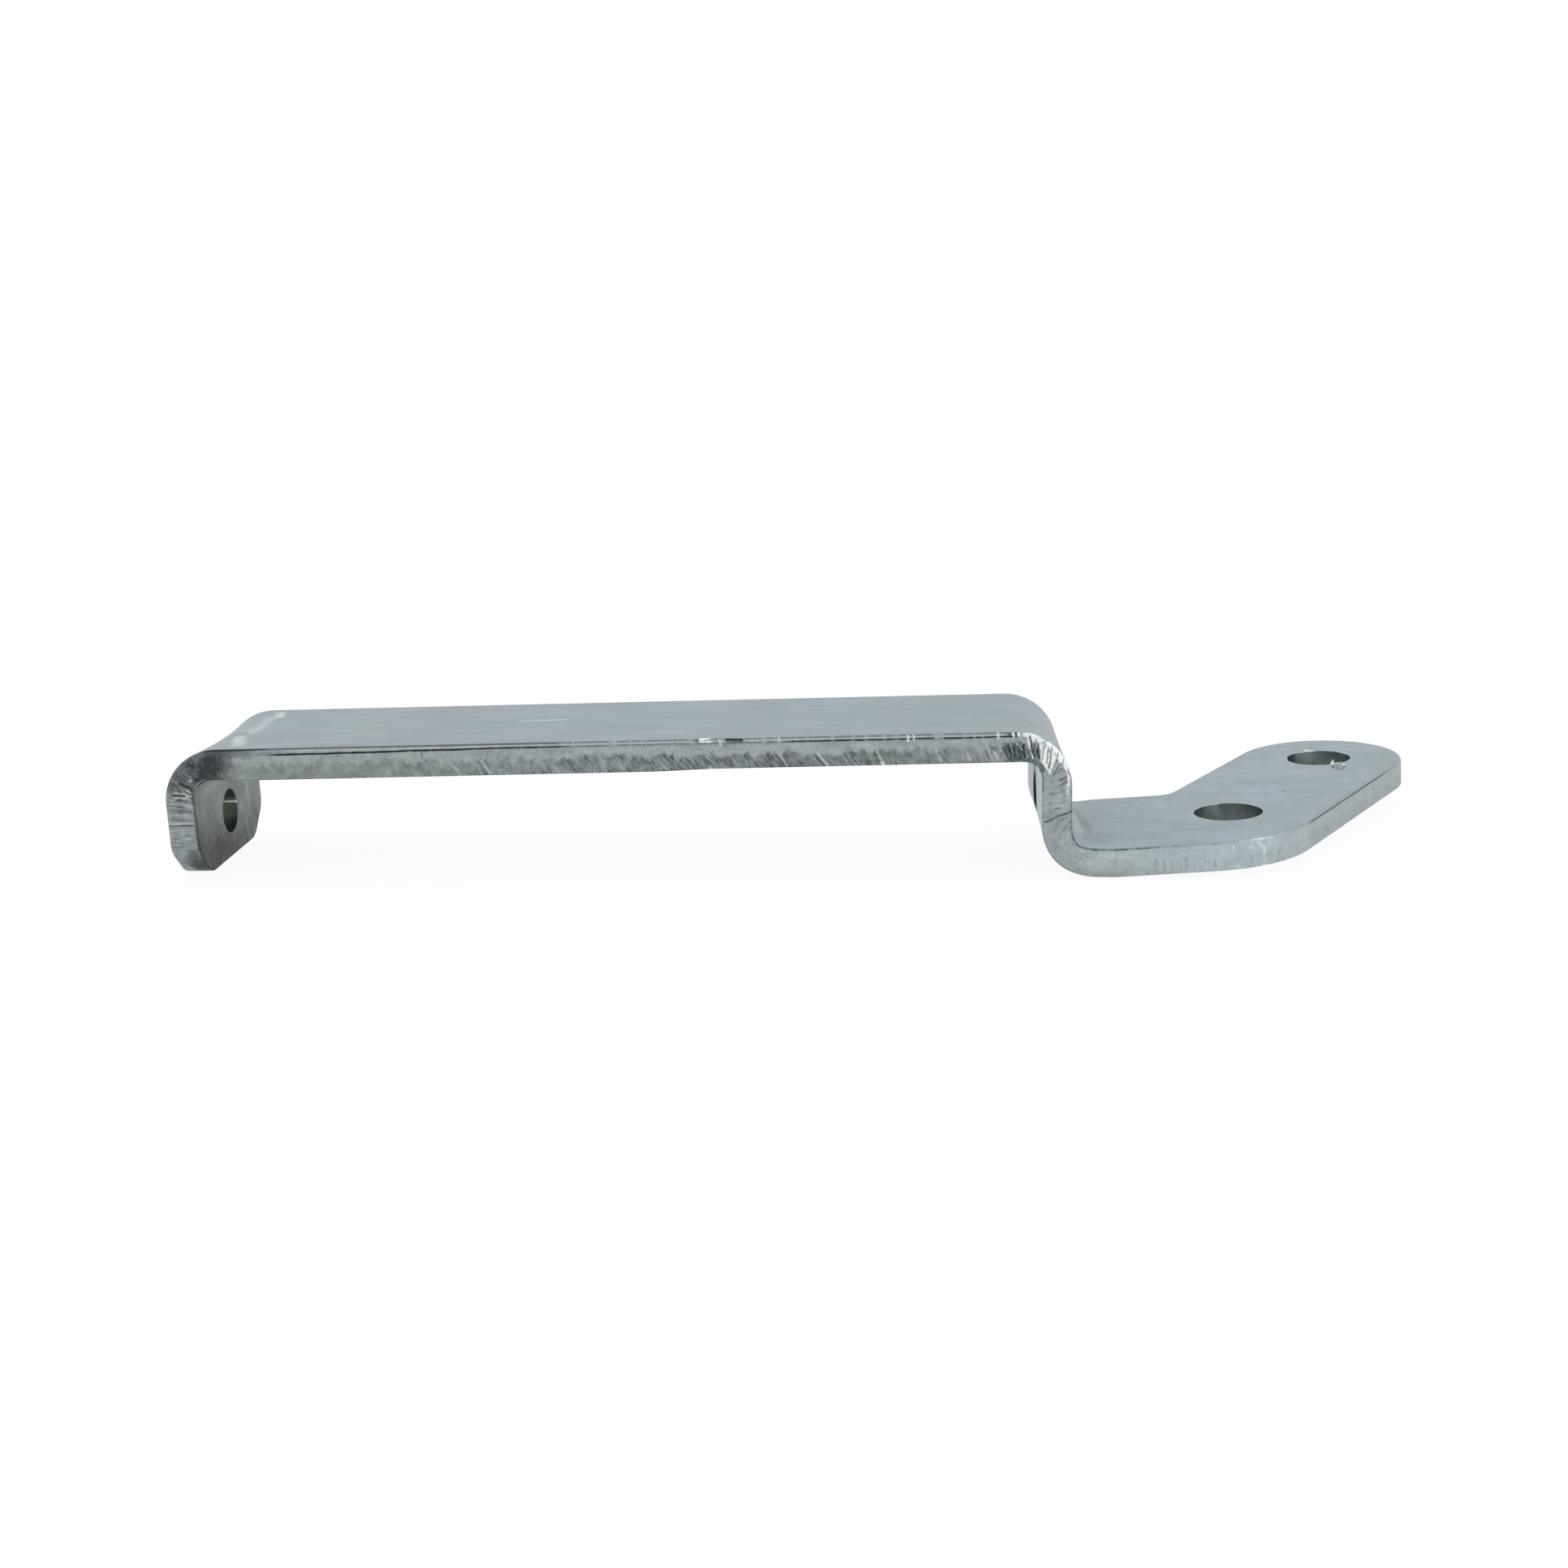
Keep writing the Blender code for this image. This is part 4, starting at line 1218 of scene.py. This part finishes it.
    # The edge's light marks and the light sides of its relief are painted highlights too
    shine = largest(
        bright_and_highlight * (0.85 - pleat_dark * 0.3), outer_rim * 0.95,
        pleat_light * run.ramp(-20.8, -20.1, 0.16, 0.42),
        tear_light * 0.26, ridge_light * 0.22, pale, plate.kept("light"),
    )
    edge = graph.mix(shine * (1 - stain_and_shade * 0.6), edge, finish.bright)
    # Painted shade in the single dark marks
    edge = graph.mix(plate.kept("dark") * 0.97, edge, finish.crevice_shade)

    # The die roll's dark lines are painted shade
    # Fine dark lines at both sides of the die roll: one on the rim itself, and a heavier broken one under it,
    # which goes on as a thin one along the leg
    wander = (graph.noise(run * 0.45, 2.0, 1.0, 3.0) - 0.5) * 0.10
    thick = graph.noise(run * 1.4, 4.0, 1.0, 3.0, 0.65)
    uneven = (thick - 0.5) * 0.08
    lower_place = run.ramp(-45.0, -59.5, 0.205, 0.31) + wander
    lower_line = (abs(depth - lower_place) - uneven).ramp(0.070, 0.024)
    broken = run.band(-43.9, -33.0, 0.8)
    heavy = 1.0 - broken * 0.50
    whole = largest(thick.ramp(0.40, 0.47), run.ramp(-44.3, -46.0))
    lower_line = lower_line * run.band(-59.6, -20.7, 0.9) * heavy * whole
    foot_strength = run.band(-14.0, -8.8, 0.6) * 0.52 + thick.ramp(0.48, 0.56) * 0.30
    rim_strength = largest(
        run.band(-63.3, -60.4, 0.5) * 0.95, run.band(-60.5, -45.0, 1.5) * 0.72,
        run.band(-45.0, -21.0, 1.0) * thick.ramp(0.42, 0.50, 0.15, 0.55),
        run.band(-14.0, -5.6, 0.8) * foot_strength,
        run.band(1.8, 13.0, 0.8) * thick.ramp(0.36, 0.46, 0.25, 0.60),
    )
    wider = run.ramp(-60.0, -62.5) * 0.03
    rim_place = run.ramp(-12.8, -11.8, 0.025, 0.090) + run.ramp(0.5, 2.5) * 0.06 + wander * 0.2
    rim_line = (abs(depth - rim_place) - uneven * 0.3 - wider).ramp(0.060, 0.030)
    rim_line = rim_line * rim_strength * plate.wall.ramp(0.01, 0.10)
    leg_line = abs(depth - wander - 0.13).ramp(0.035, 0.008)
    leg_line = leg_line * run.band(0.6, 15.0, 1.0) * 0.40
    lines = largest(lower_line, leg_line)
    edge = graph.mix(lines * (1 - plate.kept("light")), edge, finish.crevice_shade)
    # A painted highlight on the die roll, between the dark lines
    lit = depth.band(0.10, 0.15, 0.04) * run.band(-58.5, -20.9, 1.5) * 0.16
    edge = graph.mix(lit, edge, finish.bright)
    relief = mottle * 0.8 + streaks * 0.4 - lines - (tear_dark + ridge_dark + pleat_dark) * 0.8
    nicks = plate.kept("dark") * depth.ramp(0.20, 0.10) * plate.wall.ramp(0.01, 0.10)
    rim_line = largest(rim_line, nicks) * (1 - plate.kept("light"))
    return edge, shine, torn, relief, rim_line


def paint_bores(plate):
    """Holes' walls darkened as painted shade, with a painted glint and brownish dirt in the ear's hole."""
    graph, finish, run, depth = plate.graph, plate.finish, plate.run, plate.depth
    uneven = graph.noise(run * 1.3, depth * 0.6, 19.0, 3.0) - 0.5
    # The walls are darkened as painted shade
    bore = graph.scaled(finish.bore, uneven * 0.9 + 1.02)
    in_ear = plate.along.ramp(-60.0, -62.0) * plate.hole.ramp(1.6, 1.2)
    # Painted shade high in the ear's hole
    bore = graph.mix(in_ear * run.ramp(1.58, 1.35) * 0.50, bore, finish.crevice_shade)
    bore = graph.mix(in_ear * run.band(1.80, 2.50, 0.25) * 0.6, bore, BORE_DIRT)
    # Painted shade low in the ear's hole, in the stain's colour
    bore = graph.mix(in_ear * run.ramp(2.45, 2.90) * 0.75, bore, finish.stain)
    narrow = (depth + uneven * 2.0).ramp(0.2, 1.3, 0.015, 0.060)
    glint = (abs(run - 1.70) / narrow).ramp(1.8, 0.4) * in_ear
    # Painted shade in the riser's hole
    in_riser = plate.along.ramp(-20.0, -18.0) * plate.hole.ramp(1.6, 1.2)
    bore = graph.mix(in_riser * 0.85, bore, finish.crevice_shade)
    return graph.mix(glint * 0.85, bore, finish.bright)


def zinc_plate(blank, finish, seed):
    """Zinc plate over rolled faces and cut edges, with marks of punching, folding and handling, and painted
    light and shade.
    """
    plate = Plate("zinc_plate_worn", blank, finish, seed)
    graph, cut, in_bore = plate.graph, plate.cut, plate.in_bore
    face, bend_highlight, face_relief, grain, specks = paint_faces(plate)
    edge, shine, torn, edge_relief, rim_line = paint_edges(plate)
    bore = paint_bores(plate)
    surface = graph.mix(cut * (1 - in_bore), face, edge)
    # The die roll's dark lines and the nicks are painted shade, and not metal
    rim_line *= 1 - in_bore
    surface = graph.mix(rim_line * 0.9, surface, finish.crevice_shade)
    surface = graph.mix(in_bore * cut, surface, bore)
    # The screw holes' upper rims are lighter, as burnished metal and partly a painted highlight
    rolled = plate.hole.ramp(1.5, 1.9) * plate.wall.band(0.12, 0.75, 0.12) * plate.upper
    surface = graph.mix(rolled * 0.25, surface, finish.bright)
    graph.feed(plate.shader.inputs["Base Color"], surface)

    rough = finish.roughness + (grain - 0.5) * 0.12 + (specks - 0.5) * 0.12 - bend_highlight * 0.12
    rough = rough + cut * (torn * 0.10 - shine * 0.12) - rolled * 0.1
    graph.feed(plate.shader.inputs["Roughness"], rough.clamped())
    plate.shader.inputs["Specular IOR Level"].default_value = 0.0
    graph.feed(plate.shader.inputs["Metallic"], 1 - rim_line)
    height = face_relief * (1 - cut) + edge_relief * cut * (1 - in_bore)
    bump = graph.add("ShaderNodeBump", height=height, strength=0.5, distance=BUMP_DEPTH)
    graph.feed(plate.shader.inputs["Normal"], bump)
    return plate.material


# Burrs and torn flakes. Each has its place on the blank (along, across from the near rim, height over the
# upper face), its turn about the three axes in degrees, and its length, width and thickness.
BURRS = (
    ((4.22, 15.88, 0.05), (0, -62, 95), (0.32, 0.22, 0.05)),
    ((4.40, 15.45, 0.05), (12, -10, -50), (0.62, 0.16, 0.06)),
    ((4.66, 15.00, 0.04), (-20, 8, -110), (0.42, 0.13, 0.05)),
    ((4.08, 15.20, 0.03), (10, 0, -80), (0.36, 0.12, 0.05)),
    ((3.34, 19.18, 0.01), (0, -22, -82), (0.34, 0.62, 0.08)),
    ((-36.90, 0.10, -0.03), (35, 0, 2), (0.62, 0.10, 0.05)),
    ((-36.12, 0.06, -0.10), (60, 20, 0), (0.20, 0.08, 0.04)),
    ((-26.20, 0.05, -0.10), (70, 50, 0), (0.24, 0.07, 0.04)),
    ((-25.92, 0.05, -0.08), (70, 60, 0), (0.20, 0.06, 0.04)),
    ((-21.48, 0.05, -0.08), (70, 70, 0), (0.24, 0.06, 0.04)),
)


def burr_group(material):
    """A node group that sets a small curled sliver of torn metal at each point."""
    inputs = [GEOMETRY, ("Burr Size", "Float"), ("Burr Curl", "Float")]
    graph, value = new_group("Raise burrs", inputs, GEOMETRY)
    block = graph.add("GeometryNodeMeshCube", size=(1.0, 1.0, 1.0), vertices_x=9, vertices_y=4, vertices_z=3)
    x, y, z = graph.parts(graph.add("GeometryNodeInputPosition"))
    reach = x + 0.5
    wavy = graph.math("SINE", reach * 5.0) * 0.25
    side = (y + wavy) * (1 - reach * reach * 0.75)
    up = z * (1 - reach * 0.6) + reach * reach * value["Burr Curl"] * 3.0
    sliver = graph.add("GeometryNodeSetPosition", geometry=block, position=graph.join(x, side, up))
    turn, span = [
        graph.add("GeometryNodeInputNamedAttribute", {"data_type": "FLOAT_VECTOR"}, name=name)
        for name in ("turn", "span")
    ]
    placed = graph.add(
        "GeometryNodeInstanceOnPoints", points=value["Geometry"], instance=sliver,
        rotation=graph.add("FunctionNodeEulerToRotation", euler=turn),
        scale=graph.scaled(span, value["Burr Size"]),
    )
    end_group(graph, placed, material)
    return graph.tree


def burr_points(blank):
    """A mesh of the burrs' places in the folded part, with their turns and spans as attributes."""
    mesh = bpy.data.meshes.new("gate_bracket_burrs")
    places = [
        blank.folded(along, blank.near + across, blank.sheet + height)
        for (along, across, height), _, _ in BURRS
    ]
    mesh.from_pydata(places, [], [])
    for label, values in (
        ("turn", [[radians(angle) for angle in turn] for _, turn, _ in BURRS]),
        ("span", [[side * MM for side in span] for _, _, span in BURRS]),
    ):
        mesh.attributes.new(label, "FLOAT_VECTOR", "POINT").data.foreach_set("vector", np.ravel(values))
    return add_object("gate_bracket_burrs", mesh)


def torn_zinc(finish):
    """Bright torn metal."""
    material = bpy.data.materials.new("torn_zinc")
    material.use_nodes = True
    shader = material.node_tree.nodes["Principled BSDF"]
    shader.inputs["Base Color"].default_value = (*np.multiply(finish.bright, 0.85), 1.0)
    shader.inputs["Metallic"].default_value = 1.0
    shader.inputs["Roughness"].default_value = 0.38
    return material


class BRACKET_OT_raise_burrs(bpy.types.Operator):
    """Raise burrs at the second screw hole and torn flakes along the near rim"""

    bl_idname = "bracket.raise_burrs"
    bl_label = "Raise The Burrs"

    def execute(self, context):
        wear = context.scene.edge_wear
        burrs = burr_points(Blank(context.scene.bracket_sizes))
        tree = burr_group(torn_zinc(context.scene.zinc_finish))
        run_nodes(burrs, tree, {"Burr Size": wear.burr, "Burr Curl": wear.curl})
        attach(burrs, BODY)
        return {"FINISHED"}


class BRACKET_OT_fold_sheet(bpy.types.Operator):
    """Punch the blank out of sheet steel, press its wear into it and fold it"""

    bl_idname = "bracket.fold_sheet"
    bl_label = "Punch And Fold The Sheet"

    def execute(self, context):
        blank = Blank(context.scene.bracket_sizes)
        wear = context.scene.edge_wear
        bracket = punch_sheet(blank, wear.ragged / MM)
        material = zinc_plate(blank, context.scene.zinc_finish, wear.seed)
        tree, settings = wear_and_fold_group(blank, wear, material)
        run_nodes(bracket, tree, settings)
        check_against_frame(bracket)
        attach(bracket, BODY)
        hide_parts(NODE)
        return {"FINISHED"}


BOX_MARGIN = 0.2 * MM


def check_against_frame(bracket):
    """Stops if the folded sheet isn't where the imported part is."""
    places = np.zeros(len(bracket.data.vertices) * 3)
    bracket.data.vertices.foreach_get("co", places)
    places = places.reshape(-1, 3)
    low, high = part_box(NODE)
    box = np.array([places.min(axis=0), places.max(axis=0)])
    off = np.abs(box - np.array([low, high])).max()
    if off > BOX_MARGIN:
        raise RuntimeError(f"The folded sheet's box is {off / MM:.2f} mm away from the part's")


# The bracket rests on the ear's end and the foot's bend
FLOOR_TILT = radians(3.36)
FLOOR_TOUCH = Vector((-0.0116, 0.0, -0.00004))
FLOOR_REACH = 1.5
FLOOR_GLOW = 0.93                   # share of the floor that looks evenly white

# Where the photograph was taken from, in metres, and its lens in millimetres
CAMERA_PLACE = Vector((-0.021012, -0.113269, 0.030566))
CAMERA_AZIMUTH = radians(2.397)
CAMERA_ELEVATION = radians(13.569)
CAMERA_ROLL = radians(-4.125)
CAMERA_LENS = 45.342
CAMERA_SENSOR = 36.0
CAMERA_SHIFT = -0.0331

# The softboxes' place, width and height in metres, and what they point at
OVERHEAD_SOFTBOX = (Vector((-0.02, 0.06, 0.34)), 0.36, 0.30)
SIDE_SOFTBOX = (Vector((0.30, -0.10, 0.20)), 0.16, 0.20)
LIT_PLACE = Vector((-0.026, 0.0, 0.005))


def seen_directly(graph):
    """1 for rays from the camera, and for those that a mirror or glass sends on."""
    path = graph.tree.nodes.new("ShaderNodeLightPath")
    rays = ("Is Camera Ray", "Is Glossy Ray", "Is Transmission Ray")
    return largest(*[Wire(graph, path.outputs[name]) for name in rays])


def floor_material(studio):
    """Pale floor that looks white and keeps a soft shadow."""
    material = bpy.data.materials.new("studio_floor")
    material.use_nodes = True
    tree = material.node_tree
    tree.nodes.clear()
    graph = Graph(tree)
    matt = graph.add("ShaderNodeBsdfDiffuse", color=tuple(studio.floor))
    glow = graph.add("ShaderNodeEmission", color=tuple(studio.floor), strength=1.0)
    seen = seen_directly(graph) * FLOOR_GLOW
    mixed = graph.add("ShaderNodeMixShader", in_0=seen, in_1=matt, in_2=glow)
    graph.add("ShaderNodeOutputMaterial", in_0=mixed)
    return material


def add_floor(studio):
    """A large plain floor under the resting bracket."""
    mesh = bmesh.new()
    bmesh.ops.create_grid(mesh, x_segments=8, y_segments=8, size=FLOOR_REACH)
    bmesh.ops.rotate(mesh, verts=mesh.verts, matrix=Matrix.Rotation(FLOOR_TILT, 3, "Y"))
    bmesh.ops.translate(mesh, verts=mesh.verts, vec=FLOOR_TOUCH)
    data = bpy.data.meshes.new("floor")
    mesh.to_mesh(data)
    mesh.free()
    data.materials.append(floor_material(studio))
    floor = add_object("floor", data)


def add_softbox(name, place, width, height, radiance):
    """An area lamp of a given radiance, turned towards the bracket."""
    light = bpy.data.lights.new(name, "AREA")
    light.shape = "RECTANGLE"
    light.size, light.size_y = width, height
    light.energy = radiance * pi * width * height
    lamp = add_object(name, light)
    lamp.location = place
    lamp.rotation_euler = (LIT_PLACE - place).to_track_quat("-Z", "Y").to_euler()


def set_world(studio):
    """A pale room: white behind the bracket, and dimmer on the camera's side for all but the camera."""
    world = bpy.data.worlds.new("pale_room")
    world.use_nodes = True
    bpy.context.scene.world = world
    tree = world.node_tree
    tree.nodes.clear()
    graph = Graph(tree)
    east, north, up = graph.parts(graph.add("ShaderNodeTexCoord", None, "generated"))
    front = (north * 0.8 - east * 0.45 - up * 0.2).ramp(0.3, -0.7)
    camera = graph.add("ShaderNodeLightPath", None, "is_camera_ray")
    seen = seen_directly(graph)
    level = graph.add("ShaderNodeMix", {"data_type": "FLOAT"}, factor=seen, a=studio.room, b=1.0)
    level *= (1 - front * studio.dusk * (1 - camera))
    background = graph.add("ShaderNodeBackground", color=(1.0, 1.0, 1.0), strength=level)
    graph.add("ShaderNodeOutputWorld", in_0=background)


def add_camera():
    """A camera where the photograph was taken from."""
    data = bpy.data.cameras.new("camera")
    data.lens = CAMERA_LENS
    data.sensor_width = CAMERA_SENSOR
    data.shift_x = CAMERA_SHIFT
    data.clip_start = 0.005
    data.clip_end = 20.0
    camera = add_object("camera", data)
    turn = Matrix.Rotation(CAMERA_AZIMUTH, 4, "Z")
    rise = Matrix.Rotation(pi / 2 - CAMERA_ELEVATION, 4, "X")
    roll = Matrix.Rotation(CAMERA_ROLL, 4, "Z")
    camera.matrix_world = Matrix.Translation(CAMERA_PLACE) @ turn @ rise @ roll
    bpy.context.scene.camera = camera


class BRACKET_OT_set_stage(bpy.types.Operator):
    """Lay the floor, hang the soft lights and place the camera"""

    bl_idname = "bracket.set_stage"
    bl_label = "Set The Stage"

    def execute(self, context):
        studio = context.scene.studio_set
        add_floor(studio)
        set_world(studio)
        add_softbox("overhead_softbox", *OVERHEAD_SOFTBOX, studio.key)
        add_softbox("side_softbox", *SIDE_SOFTBOX, studio.side)
        add_camera()
        context.scene.view_settings.view_transform = "Standard"
        return {"FINISHED"}


class BRACKET_PT_panel(bpy.types.Panel):
    """Steps that make the bracket and its studio"""

    bl_idname = "BRACKET_PT_panel"
    bl_label = "Gate Bracket"
    bl_space_type = "VIEW_3D"
    bl_region_type = "UI"
    bl_category = "Gate Bracket"

    def draw(self, context):
        column = self.layout.column()
        for operator in OPERATORS:
            column.operator(operator.bl_idname)
        for group in GROUPS:
            settings = getattr(context.scene, group)
            box = self.layout.box()
            for name in settings.__annotations__:
                box.prop(settings, name)


OPERATORS = (BRACKET_OT_fold_sheet, BRACKET_OT_raise_burrs, BRACKET_OT_set_stage)
GROUPS = {
    "bracket_sizes": BracketSizes, "edge_wear": EdgeWear, "zinc_finish": ZincFinish, "studio_set": StudioSet,
}


def register():
    for made in (*GROUPS.values(), *OPERATORS, BRACKET_PT_panel):
        bpy.utils.register_class(made)
    for name, group in GROUPS.items():
        setattr(bpy.types.Scene, name, PointerProperty(type=group))


def unregister():
    for name in GROUPS:
        delattr(bpy.types.Scene, name)
    for made in (BRACKET_PT_panel, *OPERATORS, *GROUPS.values()):
        bpy.utils.unregister_class(made)


def main():
    register()
    bpy.ops.bracket.fold_sheet()
    bpy.ops.bracket.raise_burrs()
    bpy.ops.bracket.set_stage()


if __name__ == "__main__":
    main()
